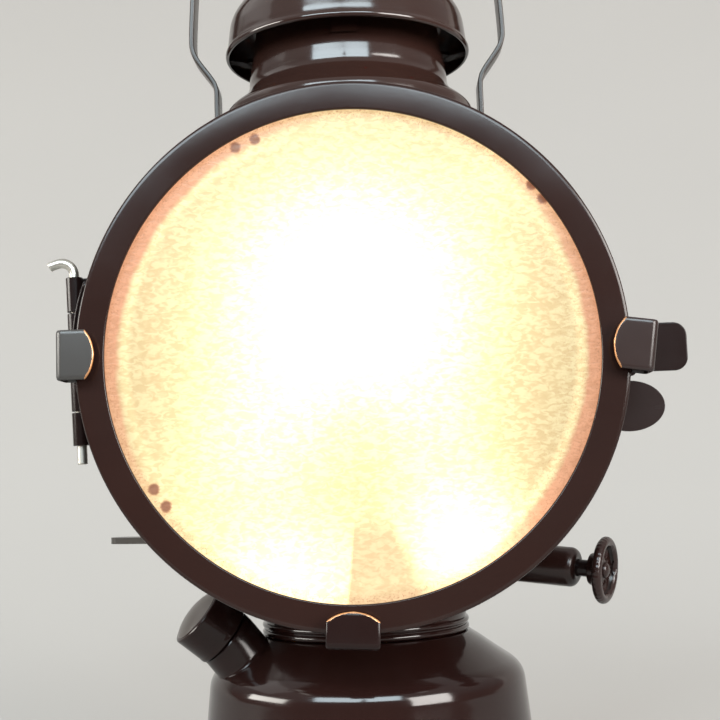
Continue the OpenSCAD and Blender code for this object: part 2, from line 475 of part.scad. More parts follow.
// Toothed wheel on the shaft inside the burner base.
module wick_wheel() color(brass) shaft_lathe() translate([0, 0, -68]) difference() {
  union() { cylinder(r = 5.2, h = 3, $fn = 48); for (a = [0:24:336]) rotate([0, 0, a]) translate([5.5, 0, 1.5]) cube([1.4, 0.9, 3], center = true); }
  translate([0, 0, -1]) cylinder(r = shaft_r + 0.02, h = 6, $fn = 48);
}

// ---------------------------------------------------------------- filler cap

module filler_cap() color(paint) on_cap() rotate_extrude() polygon(concat([[8.3, 0.35], [filler_r - 0.3, 0.35], [filler_r, 0.65], [filler_r, 10.6]],
  [[filler_r - 0.5, 11.1]], [for (i = [1:6]) [filler_r * (1 - i / 6) * 0.94, 11.1 + 2.3 * sin(i * 15)]], [[0, 9.6], [8.3, 9.6]]));
module filler_washer() color([0.66, 0.5, 0.34]) on_cap() difference() { translate([0, 0, 7.85]) cylinder(r = 8, h = 1.5); translate([0, 0, 7]) cylinder(r = 4, h = 4); }

// ---------------------------------------------------------------- signal shade

// Curved blade beside the light; the carrier ring under it turns on the track.
module signal_shade() color([0.55, 0.08, 0.06]) rotate([0, 0, -46.5]) difference() {
  rotate_extrude(angle = 93) translate([38.6, 100.4]) square([0.8, 96]);
}
module shade_carrier() color(zinc) rotate_extrude() polygon([[37.4, 94.2], [40.6, 94.2], [40.6, 95.6], [37.4, 95.6]]);
// Flat lever with a rounded end, reaching out through the slot in the shell.
module shade_lever() color(paint) at_az(lever_az) difference() {
  translate([0, 0, lever_z - 1.1]) linear_extrude(2.2) union() {
    translate([36, -4]) square([96.9 - 36 - 4, 8]);
    translate([92.9, 0]) circle(r = 4, $fn = 48);
  }
  cylinder(r = 37.5, h = 200);
}
// Upright strips from the carrier to the blade, and the rivets that hold the lever down.
module shade_struts() color(zinc) {
  for (a = [-40, 0, 40]) intersection() {
    difference() { translate([0, 0, 95.65]) cylinder(r = 38.5, h = 14); cylinder(r = 37.5, h = 200); }
    at_az(a) translate([30, -3, 90]) cube([12, 6, 30]);
  }
  for (s = [-2.3, 2.3]) at_az(lever_az) translate([39.2, s, lever_z + 1.12]) dome_head(1, 0.6);
}

housing_shell();
front_horn();
body_base_plate();
crown();
hood_brackets();
chimney_hood();
heat_baffle();
hood_rivet();
collar();
tank_shell();
tank_bottom();
filler_neck();
burner_base();
threaded_tube();
lampholder();
bulb_cap();
bulb_glass();
bulb_element();
inner_lead();
cable_bush();
reflector();
reflector_bracket();
shaft_sleeve();
body_hinge_leaf();
hinge_pin();
hinge_rivets();
body_thumb_tab();
bail_pivots();
shade_track();
door_ring();
front_glass();
glass_gasket();
glass_clips();
left_clip();
right_clip();
bottom_clip();
clip_rivets();
door_hinge_plate();
door_thumb_tab();
door_rivets();
bail();
wick_shaft();
wick_knob();
wick_wheel();
knob_rivet();
filler_cap();
filler_washer();
signal_shade();
shade_carrier();
shade_lever();
shade_struts();
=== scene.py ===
import math

import bmesh
import bpy
import numpy as np
from mathutils import Matrix, Vector, noise


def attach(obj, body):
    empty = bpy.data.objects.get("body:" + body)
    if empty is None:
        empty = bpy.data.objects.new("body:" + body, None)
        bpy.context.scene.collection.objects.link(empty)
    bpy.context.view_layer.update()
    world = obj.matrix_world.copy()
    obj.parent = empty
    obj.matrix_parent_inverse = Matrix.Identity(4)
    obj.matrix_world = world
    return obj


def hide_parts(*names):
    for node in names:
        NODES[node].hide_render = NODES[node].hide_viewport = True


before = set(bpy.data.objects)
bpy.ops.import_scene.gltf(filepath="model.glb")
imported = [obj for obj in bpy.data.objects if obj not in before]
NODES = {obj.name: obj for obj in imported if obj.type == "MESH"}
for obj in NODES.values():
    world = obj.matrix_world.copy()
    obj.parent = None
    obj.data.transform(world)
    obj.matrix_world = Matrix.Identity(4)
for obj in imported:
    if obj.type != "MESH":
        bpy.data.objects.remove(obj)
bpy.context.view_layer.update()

SC = bpy.context.scene
PI = math.pi

# ------------------------------------------------------------------ camera
CAM = dict(pos=(8.013, -403.492, 116.34), pitch=5.377, yaw=1.014, roll=1.887, lens=62.03)


def make_camera():
    p, y, r = (math.radians(CAM[k]) for k in ("pitch", "yaw", "roll"))
    fwd = Vector((-math.sin(y) * math.cos(p), math.cos(y) * math.cos(p), math.sin(p)))
    right0 = Vector((math.cos(y), math.sin(y), 0))
    up0 = right0.cross(fwd)
    right = math.cos(r) * right0 - math.sin(r) * up0
    up = math.sin(r) * right0 + math.cos(r) * up0
    cam = bpy.data.cameras.new("camera")
    cam.lens, cam.sensor_width, cam.sensor_fit = CAM["lens"], 36.0, "HORIZONTAL"
    cam.clip_start, cam.clip_end = 0.01, 50
    ob = bpy.data.objects.new("camera", cam)
    m = Matrix.Identity(4)
    for i in range(3):
        m[i][0], m[i][1], m[i][2], m[i][3] = right[i], up[i], -fwd[i], CAM["pos"][i] / 1000
    ob.matrix_world = m
    SC.collection.objects.link(ob)
    SC.camera = ob
    return ob


make_camera()


# ------------------------------------------------------------------ node helpers
class Mat:
    """A small writer of node materials."""

    def __init__(self, name):
        self.m = bpy.data.materials.new(name)
        self.m.use_nodes = True
        self.t = self.m.node_tree
        self.t.nodes.clear()
        self.out = self.n("ShaderNodeOutputMaterial")

    def n(self, kind, _attrs=None, **ins):
        node = self.t.nodes.new(kind)
        for k, v in (_attrs or {}).items():
            setattr(node, k, v)
        for k, v in ins.items():
            self.put(node, k.replace("_", " "), v)
        return node

    def put(self, node, key, v):
        s = node.inputs[key]
        if isinstance(v, bpy.types.NodeSocket):
            self.t.links.new(v, s)
        else:
            s.default_value = v

    def coords(self):
        if not hasattr(self, "tc"):
            self.tc = self.n("ShaderNodeTexCoord").outputs["Object"]
        return self.tc

    def math(self, op, a, b=None, c=None, clamp=False):
        node = self.t.nodes.new("ShaderNodeMath")
        node.operation, node.use_clamp = op, clamp
        for i, v in enumerate((a, b, c)):
            if v is None:
                continue
            if isinstance(v, bpy.types.NodeSocket):
                self.t.links.new(v, node.inputs[i])
            else:
                node.inputs[i].default_value = v
        return node.outputs[0]

    def vmath(self, op, a, b=None, scale=None):
        node = self.t.nodes.new("ShaderNodeVectorMath")
        node.operation = op
        for i, v in enumerate((a, b)):
            if v is None:
                continue
            if isinstance(v, bpy.types.NodeSocket):
                self.t.links.new(v, node.inputs[i])
            else:
                node.inputs[i].default_value = v
        if scale is not None:
            node.inputs["Scale"].default_value = scale
        return node.outputs[1] if op in ("LENGTH", "DOT_PRODUCT", "DISTANCE") else node.outputs[0]

    def noise(self, scale, detail=3.0, rough=0.5, vec=None, dist=0.0):
        return self.n("ShaderNodeTexNoise", Vector=vec or self.coords(), Scale=scale, Detail=detail, Roughness=rough, Distortion=dist).outputs[0]

    def ramp(self, fac, stops, interp="LINEAR"):
        node = self.t.nodes.new("ShaderNodeValToRGB")
        cr = node.color_ramp
        cr.interpolation = interp
        while len(cr.elements) > 1:
            cr.elements.remove(cr.elements[-1])
        for i, (pos, col) in enumerate(stops):
            el = cr.elements[0] if i == 0 else cr.elements.new(pos)
            el.position = pos
            el.color = tuple(col) + (1,) if len(col) == 3 else col
        self.t.links.new(fac, node.inputs[0])
        return node.outputs[0]

    def remap(self, v, a, b, c, d, smooth=False):
        node = self.t.nodes.new("ShaderNodeMapRange")
        node.interpolation_type = "SMOOTHSTEP" if smooth else "LINEAR"
        node.clamp = True
        self.t.links.new(v, node.inputs[0])
        for i, x in enumerate((a, b, c, d)):
            node.inputs[i + 1].default_value = x
        return node.outputs[0]

    def mix(self, fac, a, b, mode="MIX"):
        node = self.t.nodes.new("ShaderNodeMix")
        node.data_type, node.blend_type, node.clamp_factor = "RGBA", mode, True
        for key, v in (("Factor_Float", fac), ("A_Color", a), ("B_Color", b)):
            s = next(x for x in node.inputs if x.identifier == key)
            if isinstance(v, bpy.types.NodeSocket):
                self.t.links.new(v, s)
            else:
                s.default_value = v if isinstance(v, (int, float)) else tuple(v) + ((1,) if len(v) == 3 else ())
        return next(x for x in node.outputs if x.identifier == "Result_Color")

    def bump(self, height, strength, distance, normal=None):
        node = self.n("ShaderNodeBump", Strength=strength, Distance=distance, Height=height)
        if normal is not None:
            self.t.links.new(normal, node.inputs["Normal"])
        return node.outputs[0]

    def principled(self, **kw):
        return self.n("ShaderNodeBsdfPrincipled", **kw)

    def done(self, shader):
        self.t.links.new(shader, self.out.inputs["Surface"])
        return self.m


def rgb(c):
    return tuple(c) + (1,) if len(c) == 3 else tuple(c)


def paint(name, base, rough, peel=1.0, brown=0.5, seed=0.0, dust=0.03, ior=1.52):
    """Enamel over sheet steel: faint cloudiness, orange peel, a few dust specks, hairline rubs."""
    k = Mat(name)
    v = k.vmath("ADD", k.coords(), (seed, seed * 0.7, seed * 1.3))
    cloud = k.noise(22, 4, 0.6, v)
    warm = tuple(min(1, c * f) for c, f in zip(base, (1 + 0.5 * brown, 1 + 0.2 * brown, 1 + 0.05 * brown)))
    col = k.mix(k.remap(cloud, 0.35, 0.7, 0, 1), rgb(base), rgb(warm))
    # fine dust specks in the paint
    vor = k.n("ShaderNodeTexVoronoi", Vector=v, Scale=170.0, Randomness=1.0)
    pick = k.remap(vor.outputs["Color"], 0.0, 1.0, 0.0, 1.0)
    speck = k.math("MULTIPLY", k.remap(vor.outputs["Distance"], 0.03, 0.07, 1, 0), k.math("GREATER_THAN", pick, 0.93))
    col = k.mix(k.math("MULTIPLY", speck, 0.22), col, (0.11, 0.085, 0.075, 1))
    # thin film of dust on what faces up
    up = k.n("ShaderNodeSeparateXYZ", Vector=k.n("ShaderNodeNewGeometry").outputs["Normal"]).outputs[2]
    film = k.math("MULTIPLY", k.remap(up, 0.45, 1.0, 0, 1, True), k.remap(k.noise(60, 5, 0.65, v), 0.42, 0.75, 0.0, dust))
    col = k.mix(film, col, (0.2, 0.17, 0.15, 1))
    # faint rub marks and smudges in the gloss
    st = k.n("ShaderNodeMapping", Vector=v)
    st.inputs["Scale"].default_value = (1, 1, 5)
    rub = k.remap(k.noise(45, 5, 0.6, st.outputs[0]), 0.55, 0.78, 0, 1)
    smudge = k.noise(30, 4, 0.5, v, 0.4)
    r = k.math("ADD", k.remap(smudge, 0.3, 0.7, rough - 0.03, rough + 0.045), k.math("MULTIPLY", rub, 0.03))
    r = k.math("ADD", r, k.math("MULTIPLY", film, 1.2))
    wave = k.noise(60, 2, 0.4, v)
    peeln = k.noise(540, 2, 0.45, v)
    n1 = k.bump(wave, 0.25, 0.00012 * peel)
    n2 = k.bump(peeln, 0.3, 0.000022 * peel, n1)
    n3 = k.bump(speck, 0.4, 0.00004, n2)
    p = k.principled(Base_Color=col, Roughness=r, IOR=ior, Normal=n3)
    return k.done(p.outputs[0])


def metal(name, base, rough, tarnish, spot=0.3, grain=(1, 1, 1), scale=300, bumpd=0.00004):
    k = Mat(name)
    v = k.coords()
    mp = k.n("ShaderNodeMapping", Vector=v)
    mp.inputs["Scale"].default_value = grain
    g = k.noise(scale, 6, 0.7, mp.outputs[0])
    cl = k.noise(45, 5, 0.65, v)
    col = k.mix(k.math("MULTIPLY", k.remap(cl, 0.42, 0.68, 0, 1), spot), rgb(base), rgb(tarnish))
    col = k.mix(k.remap(g, 0.3, 0.7, 0.0, 0.25), col, rgb(tuple(c * 0.6 for c in base)))
    r = k.math("ADD", k.remap(g, 0.3, 0.7, rough - 0.06, rough + 0.12), k.math("MULTIPLY", k.remap(cl, 0.45, 0.7, 0, 1), 0.15))
    nn = k.bump(g, 0.4, bumpd)
    p = k.principled(Base_Color=col, Metallic=1.0, Roughness=r, Normal=nn)
    return k.done(p.outputs[0])


M_BODY = paint("paint_body", (0.0120, 0.0056, 0.0046), 0.17, 1.0, 0.5, 0.3)
M_TANK = paint("paint_tank", (0.0105, 0.0044, 0.0038), 0.11, 0.6, 0.5, 1.1, 0.01, 1.46)
M_HOOD = paint("paint_hood", (0.0190, 0.0094, 0.0076), 0.13, 0.8, 0.5, 2.3)
M_RING = paint("paint_ring", (0.0150, 0.0070, 0.0058), 0.16, 1.3, 0.4, 3.7, 0.02, 1.36)
M_CLIP = paint("paint_clip", (0.0180, 0.0118, 0.0112), 0.25, 0.8, 0.4, 5.1, 0.02, 1.42)
# left clip: a lighter copy of the clip paint, painted light from the bright left side
M_CLIP_LIT = paint("paint_clip_lit", (0.0300, 0.0285, 0.0268), 0.30, 0.8, 0.2, 5.6, 0.03, 1.50)
# bottom clip: a darker copy of the clip paint, painted shade
M_CLIP_SHADED = paint("paint_clip_shaded", (0.0090, 0.0036, 0.0032), 0.22, 0.8, 0.4, 6.1, 0.02, 1.33)
M_TRIM = paint("paint_trim", (0.0082, 0.0041, 0.0038), 0.22, 0.8, 0.4, 6.9, 0.03, 1.34)
# lever: a lighter grey paint, painted light from the bright left side
M_LEVER_LIT = paint("paint_lever_lit", (0.0360, 0.0330, 0.0290), 0.25, 0.8, 0.3, 7.4, 0.03, 1.52)
M_KNOB = paint("paint_knob", (0.0140, 0.0060, 0.0050), 0.22, 0.8, 0.5, 8.3, 0.03, 1.43)
# body tab: a lighter copy of the trim paint, painted light
M_BTAB_LIT = paint("paint_body_tab_lit", (0.0140, 0.0086, 0.0082), 0.25, 0.8, 0.4, 7.9, 0.03, 1.38)
M_CAP = paint("paint_cap", (0.0120, 0.0050, 0.0042), 0.15, 0.8, 0.5, 12.7, 0.01, 1.36)
# cap end: a lighter grey paint, a painted sheen of the bright wall to the left
M_CAP_END_SHEEN = paint("paint_cap_end_sheen", (0.0600, 0.0520, 0.0470), 0.30, 0.8, 0.3, 13.3, 0.05, 1.50)
M_BAIL = paint("paint_bail", (0.0160, 0.0103, 0.0072), 0.28, 0.7, 0.3, 9.7, 0.03, 1.45)
M_INSIDE = paint("paint_inside", (0.034, 0.026, 0.022), 0.45, 1.2, 0.9, 11.3)
# copper-tinted metal for the clips' inner arc edges: a painted orange glint of the glowing glass
M_EDGE_GLINT = metal("edge_glint_metal", (0.62, 0.33, 0.17), 0.42, (0.30, 0.14, 0.07), 0.5, (1, 1, 1), 500, 0.00003)
M_ZINC = metal("zinc_wire", (0.66, 0.655, 0.60), 0.30, (0.36, 0.33, 0.26), 0.5, (1, 1, 0.15), 420, 0.00003)
M_SHEET = metal("bare_sheet", (0.46, 0.45, 0.42), 0.42, (0.24, 0.2, 0.16), 0.6, (1, 1, 3), 260)
M_BRASS = metal("aged_brass", (0.60, 0.42, 0.17), 0.33, (0.26, 0.16, 0.07), 0.75, (1, 1, 2.4), 300)
M_MIRROR = metal("polished_reflector", (0.86, 0.84, 0.78), 0.10, (0.62, 0.56, 0.44), 0.35, (1, 1, 1), 120, 0.00001)


def porcelain():
    k = Mat("glazed_porcelain")
    c = k.noise(60, 5, 0.6)
    crack = k.n("ShaderNodeTexVoronoi", {"feature": "DISTANCE_TO_EDGE"}, Vector=k.coords(), Scale=210.0)
    line = k.remap(crack.outputs["Distance"], 0.0, 0.012, 1, 0)
    col = k.mix(k.remap(c, 0.35, 0.75, 0, 1), (0.80, 0.77, 0.70, 1), (0.66, 0.60, 0.50, 1))
    col = k.mix(k.math("MULTIPLY", line, 0.25), col, (0.32, 0.26, 0.2, 1))
    p = k.principled(Base_Color=col, Roughness=k.remap(c, 0.3, 0.7, 0.10, 0.24), IOR=1.52, Coat_Weight=0.5, Coat_Roughness=0.05, Normal=k.bump(c, 0.2, 0.0002))
    return k.done(p.outputs[0])


def rough_stuff(name, a, b, rough, scale, dist, seed=0.0, sheen=0.0):
    k = Mat(name)
    v = k.vmath("ADD", k.coords(), (seed, seed, seed))
    g = k.noise(scale, 8, 0.65, v)
    c = k.noise(scale * 0.16, 4, 0.5, v)
    col = k.mix(k.remap(g, 0.3, 0.72, 0, 1), rgb(a), rgb(b))
    col = k.mix(k.remap(c, 0.35, 0.7, 0, 0.4), col, rgb(tuple(x * 0.6 for x in a)))
    p = k.principled(Base_Color=col, Roughness=k.remap(g, 0.3, 0.7, rough - 0.06, rough + 0.06), Sheen_Weight=sheen, Normal=k.bump(g, 0.6, dist))
    return k.done(p.outputs[0])


M_PORC = porcelain()
M_FIBRE = rough_stuff("fibre_ring", (0.10, 0.075, 0.06), (0.17, 0.13, 0.10), 0.85, 900, 0.0002)
M_CORK = rough_stuff("cork", (0.36, 0.22, 0.11), (0.20, 0.11, 0.05), 0.88, 700, 0.0004, 1.7)
M_RUBBER = rough_stuff("rubber", (0.012, 0.012, 0.012), (0.03, 0.029, 0.028), 0.62, 500, 0.00012, 3.1)


def braid():
    k = Mat("braided_lead")
    v = k.coords()
    w1 = k.n("ShaderNodeTexWave", {"wave_type": "BANDS", "bands_direction": "DIAGONAL"}, Vector=v, Scale=420.0, Distortion=0.6).outputs[1]
    mp = k.n("ShaderNodeMapping", Vector=v)
    mp.inputs["Scale"].default_value = (-1, 1, 1)
    w2 = k.n("ShaderNodeTexWave", {"wave_type": "BANDS", "bands_direction": "DIAGONAL"}, Vector=mp.outputs[0], Scale=420.0, Distortion=0.6).outputs[1]
    w = k.math("MAXIMUM", w1, w2)
    col = k.mix(w, (0.13, 0.10, 0.06, 1), (0.34, 0.28, 0.18, 1))
    p = k.principled(Base_Color=col, Roughness=k.remap(w, 0, 1, 0.75, 0.9), Sheen_Weight=0.3, Normal=k.bump(w, 0.7, 0.0003))
    return k.done(p.outputs[0])


M_BRAID = braid()


def red_screen():
    k = Mat("red_screen")
    c = k.noise(50, 5, 0.6)
    s = k.noise(500, 6, 0.7)
    col = k.mix(k.remap(c, 0.35, 0.7, 0, 1), (0.40, 0.018, 0.010, 1), (0.27, 0.010, 0.006, 1))
    p = k.principled(Base_Color=col, Roughness=k.remap(s, 0.3, 0.7, 0.22, 0.4), IOR=1.49, Coat_Weight=0.3, Coat_Roughness=0.1, Normal=k.bump(s, 0.2, 0.00006))
    tr = k.n("ShaderNodeBsdfTranslucent", Color=(0.75, 0.03, 0.015, 1))
    mx = k.n("ShaderNodeMixShader")
    mx.inputs[0].default_value = 0.45
    k.t.links.new(p.outputs[0], mx.inputs[1])
    k.t.links.new(tr.outputs[0], mx.inputs[2])
    return k.done(mx.outputs[0])


M_RED = red_screen()


def bulb_glass():
    k = Mat("frosted_bulb")
    c = k.noise(120, 5, 0.6)
    sep = k.n("ShaderNodeSeparateXYZ", Vector=k.coords())
    top = k.remap(sep.outputs[2], 0.136, 0.150, 0.35, 1.0, True)
    col = k.mix(k.remap(c, 0.3, 0.7, 0, 1), (0.92, 0.88, 0.80, 1), (0.86, 0.81, 0.72, 1))
    em = k.mix(top, (0.9, 0.42, 0.14, 1), (1.0, 0.80, 0.50, 1))
    p = k.principled(Base_Color=col, Roughness=k.remap(c, 0.3, 0.7, 0.25, 0.4), IOR=1.5, Normal=k.bump(c, 0.15, 0.0001))
    k.put(p, "Emission Color", em)
    k.put(p, "Emission Strength", 5.0)
    return k.done(p.outputs[0])


def element():
    k = Mat("light_element")
    g = k.noise(900, 3, 0.5)
    em = k.mix(k.remap(g, 0.35, 0.65, 0, 1), (1.0, 0.74, 0.36, 1), (1.0, 0.86, 0.58, 1))
    p = k.principled(Base_Color=(0.9, 0.7, 0.3, 1), Roughness=k.remap(g, 0.3, 0.7, 0.35, 0.5))
    k.put(p, "Emission Color", em)
    k.put(p, "Emission Strength", 9.0)
    return k.done(p.outputs[0])


M_BULB = bulb_glass()
M_ELEMENT = element()

# ------------------------------------------------------------------ front glass
RZ = 150.0


def pebble_height(k, v):
    """Rolled sheet glass: soft short ripples about 2 mm long that lie a little aslant, on a gentle swell."""
    mp = k.n("ShaderNodeMapping", Vector=v)
    mp.inputs["Rotation"].default_value = (0, 0, 0.30)
    mp.inputs["Scale"].default_value = (0.52, 1.0, 1.0)
    ripple = k.noise(820, 1.5, 0.45, mp.outputs[0], 0.9)
    swell = k.noise(210, 2, 0.5, v, 0.5)
    return k.math("ADD", k.math("MULTIPLY", ripple, 0.72), k.math("MULTIPLY", swell, 0.28))


def glass_front():
    """Painted glow of the light from behind, as emission: a painted hot spot, a plateau round it, two painted bright
    patches low down with a painted shadow of the burner between them.
    """
    k = Mat("pebbled_glass")
    v = k.coords()
    sep = k.n("ShaderNodeSeparateXYZ", Vector=v)
    x = sep.outputs[0]
    z = k.math("SUBTRACT", sep.outputs[2], RZ / 1000)
    vec = k.n("ShaderNodeCombineXYZ", X=x, Y=z).outputs[0]
    r = k.vmath("LENGTH", vec)
    ri = k.math("ARCTAN2", z, x)

    def blob(cx, cz, sx, sz, amp):
        d = k.vmath("MULTIPLY", k.vmath("SUBTRACT", vec, (cx / 1000, cz / 1000, 0)), (1000 / sx, 1000 / sz, 0))
        q = k.vmath("DOT_PRODUCT", d, d)
        return k.math("MULTIPLY", k.math("EXPONENT", k.math("MULTIPLY", q, -0.5)), amp)

    def toward(deg, lo):
        """1 towards the stated angle on the pane, 0 away from it."""
        return k.remap(k.math("COSINE", k.math("SUBTRACT", ri, math.radians(deg))), lo, 1.0, 0, 1, True)

    hgt = pebble_height(k, vec)
    glow = blob(0, 13.5, 22.3, 22.3, 4.3)
    for b in ((1, -15, 9, 10, -0.65), (-27, -24, 14, 15, 1.1), (24, -24, 13, 12, 0.75), (-44, -40, 12, 12, 0.32), (42, 47, 10, 10, 0.34)):
        glow = k.math("ADD", glow, blob(*b))
    # shadow of the burner, low in the middle: hard left edge, soft right edge
    ang = k.math("ARCTAN2", k.math("SUBTRACT", x, 0.0011), k.math("MULTIPLY", k.math("ADD", z, 0.0285), -1.0))
    wedge = k.math("MULTIPLY", k.remap(ang, -0.128, -0.092, 0, 1, True), k.remap(ang, 0.33, 0.55, 1, 0, True))
    wedge = k.math("MULTIPLY", wedge, k.remap(z, -0.041, -0.050, 0, 1, True))
    low = k.math("ADD", blob(-19, -62, 15, 12, 2.4), blob(28, -52, 11.5, 11.5, 2.9))
    glow = k.math("ADD", glow, k.math("MULTIPLY", low, k.math("SUBTRACT", 1.0, k.math("MULTIPLY", wedge, 0.95))))
    plateau = k.math("ADD", k.math("SUBTRACT", 1.10, k.math("MULTIPLY", toward(-10, 0.55), 0.08)), k.math("MULTIPLY", wedge, 0.16))
    glow = k.math("ADD", glow, plateau)
    # painted darker salmon band of the glow along the rim, wide at upper left and right, gone at the top and bottom
    # left
    wob = k.math("MULTIPLY", k.math("SUBTRACT", k.noise(150, 3, 0.6, vec), 0.5), 0.0022)
    inner = k.math("SUBTRACT", 0.0655, k.math("MULTIPLY", k.math("MAXIMUM", toward(150, 0.5), toward(-14, 0.45)), 0.0018))
    band = k.remap(k.math("ADD", k.math("SUBTRACT", r, inner), wob), -0.0008, 0.0010, 0, 1, True)
    where = k.math("MAXIMUM", k.math("MAXIMUM", toward(155, 0.25), toward(-12, 0.15)), k.math("MULTIPLY", wedge, 0.4))
    where = k.math("MAXIMUM", where, 0.22)
    band = k.math("MULTIPLY", band, where)
    # painted brighter ring of the glow just inside the rim
    lip = k.math("MULTIPLY", k.remap(k.math("ABSOLUTE", k.math("SUBTRACT", r, 0.0622)), 0.0, 0.0022, 1, 0, True), where)
    glow = k.math("ADD", glow, k.math("MULTIPLY", lip, 0.32))
    # painted shadows of the pairs of holding tabs behind the glass, dark spots in the glow
    tab_shadows = None
    for a, rad in ((112.6, 65.3), (117.7, 65.6), (212.8, 65.0), (217.8, 65.2), (37.2, 67.3), (41.3, 67.5)):
        c = (rad * math.cos(math.radians(a)) / 1000, rad * math.sin(math.radians(a)) / 1000, 0)
        d = k.vmath("DISTANCE", vec, c)
        m = k.remap(k.math("ADD", d, k.math("MULTIPLY", k.math("SUBTRACT", hgt, 0.5), 0.0008)), 0.0010, 0.0019, 1, 0, True)
        tab_shadows = m if tab_shadows is None else k.math("MAXIMUM", tab_shadows, m)
    glow = k.math("MULTIPLY", glow, k.math("SUBTRACT", 1.0, k.math("MULTIPLY", band, 0.05)))
    # light and shade of the pebbles painted into the glow's strength and colour
    relief = k.remap(hgt, 0.38, 0.62, 0.95, 1.10, True)
    e = k.math("MULTIPLY", glow, relief)
    e = k.math("MULTIPLY", e, k.math("SUBTRACT", 1.0, k.math("MULTIPLY", tab_shadows, 0.66)))
    tint = k.mix(k.remap(hgt, 0.40, 0.60, 0, 1, True), (1.0, 0.765, 0.385, 1), (1.0, 0.85, 0.455, 1))
    tint = k.mix(band, tint, (1.0, 0.46, 0.25, 1))
    tint = k.mix(k.math("MULTIPLY", wedge, 0.5), tint, (1.0, 0.70, 0.40, 1))
    tint = k.mix(tab_shadows, tint, (0.95, 0.36, 0.19, 1))
    # dark grains that thicken towards the edge of the pane
    grain = k.remap(k.noise(1700, 3, 0.65, vec), 0.52, 0.66, 0, 1)
    where_g = k.math("MAXIMUM", k.math("MULTIPLY", k.remap(r, 0.0640, 0.0668, 0, 1, True), 0.9), k.math("MULTIPLY", k.math("MULTIPLY", k.remap(r, 0.052, 0.064, 0, 1, True), toward(-14, 0.4)), 0.55))
    tint = k.mix(k.math("MULTIPLY", grain, k.math("MULTIPLY", where_g, 0.75)), tint, (0.62, 0.24, 0.12, 1))
    nn = k.bump(hgt, 0.5, 0.0002)
    p = k.principled(Base_Color=(0.05, 0.035, 0.022, 1), Roughness=k.remap(hgt, 0.38, 0.62, 0.30, 0.42, True), IOR=1.36, Normal=nn)
    k.put(p, "Emission Color", tint)
    k.put(p, "Emission Strength", k.math("MULTIPLY", e, GLOW))
    return k.done(p.outputs[0])


def glass_back():
    """The glass's smooth back and cut edge: clear, faintly green, with a few specks."""
    k = Mat("glass_back")
    c = k.noise(90, 4, 0.6)
    p = k.principled(Base_Color=k.mix(k.remap(c, 0.3, 0.7, 0, 1), (0.55, 0.60, 0.55, 1), (0.48, 0.52, 0.46, 1)), Roughness=k.remap(c, 0.3, 0.7, 0.05, 0.12), IOR=1.5)
    tr = k.n("ShaderNodeBsdfTransparent", Color=(0.97, 0.98, 0.96, 1))
    mx = k.n("ShaderNodeMixShader")
    mx.inputs[0].default_value = 0.88
    k.t.links.new(p.outputs[0], mx.inputs[1])
    k.t.links.new(tr.outputs[0], mx.inputs[2])
    return k.done(mx.outputs[0])


GLOW = 0.67
M_GLASS = glass_front()
M_GLASS_BACK = glass_back()


# ------------------------------------------------------------------ mesh helpers (millimetres)
def T(x, y, z):
    return Matrix.Translation((x, y, z))


def R(deg, axis):
    return Matrix.Rotation(math.radians(deg), 4, axis)


I4 = Matrix.Identity(4)
FRONT = T(0, 0, RZ) @ R(90, "X")                       # +Z of the profile points to the front
SHAFT = R(-27, "Z") @ T(81.0, 0, RZ - 63.2) @ R(5, "Y") @ R(90, "Y")
NECK = R(200.5, "Z") @ T(38.6, 0, RZ - 90.7) @ R(90 - 52, "Y")
CAP = NECK @ T(0, 0, 9.2) @ T(14, 0, 0) @ R(12, "Y") @ T(-14, 0, 0)
HINGE = T(-79.2, -50, RZ) @ R(-2, "Y")


def fillet(pts, closed=False, step=9.0):
    """Points (x, y[, radius]) with their corners rounded."""
    out, n = [], len(pts)
    for i, q in enumerate(pts):
        p = np.array(q[:2], float)
        r = q[2] if len(q) > 2 else 0
        if r <= 0 or (not closed and i in (0, n - 1)):
            out.append(tuple(p))
            continue
        a, b = np.array(pts[i - 1][:2], float), np.array(pts[(i + 1) % n][:2], float)
        va, vb = a - p, b - p
        la, lb = np.linalg.norm(va), np.linalg.norm(vb)
        va, vb = va / la, vb / lb
        ang = math.acos(max(-1, min(1, float(va @ vb))))
        if ang > PI - 1e-3 or ang < 1e-3:
            out.append(tuple(p))
            continue
        d = min(r / math.tan(ang / 2), 0.49 * la, 0.49 * lb)
        r = d * math.tan(ang / 2)
        m = va + vb
        c = p + m / np.linalg.norm(m) * r / math.sin(ang / 2)
        t1, t2 = p + va * d, p + vb * d
        a1 = math.atan2(t1[1] - c[1], t1[0] - c[0])
        a2 = math.atan2(t2[1] - c[1], t2[0] - c[0])
        da = (a2 - a1 + PI) % (2 * PI) - PI
        k = max(2, math.ceil(abs(math.degrees(da)) / step))
        out += [(c[0] + r * math.cos(a1 + da * j / k), c[1] + r * math.sin(a1 + da * j / k)) for j in range(k + 1)]
    return out


def smooth_line(pts, n=8):
    """A smooth curve through the points (centripetal form kept simple), n steps per span."""
    P = [np.array(p, float) for p in pts]
    out = []
    for i in range(len(P) - 1):
        p0 = P[i - 1] if i > 0 else 2 * P[0] - P[1]
        p1, p2 = P[i], P[i + 1]
        p3 = P[i + 2] if i + 2 < len(P) else 2 * P[-1] - P[-2]
        for j in range(n):
            t = j / n
            out.append(0.5 * ((2 * p1) + (p2 - p0) * t + (2 * p0 - 5 * p1 + 4 * p2 - p3) * t * t + (3 * p1 - p0 - 3 * p2 + p3) * t ** 3))
    out.append(P[-1])
    return [tuple(float(c) for c in q) for q in out]


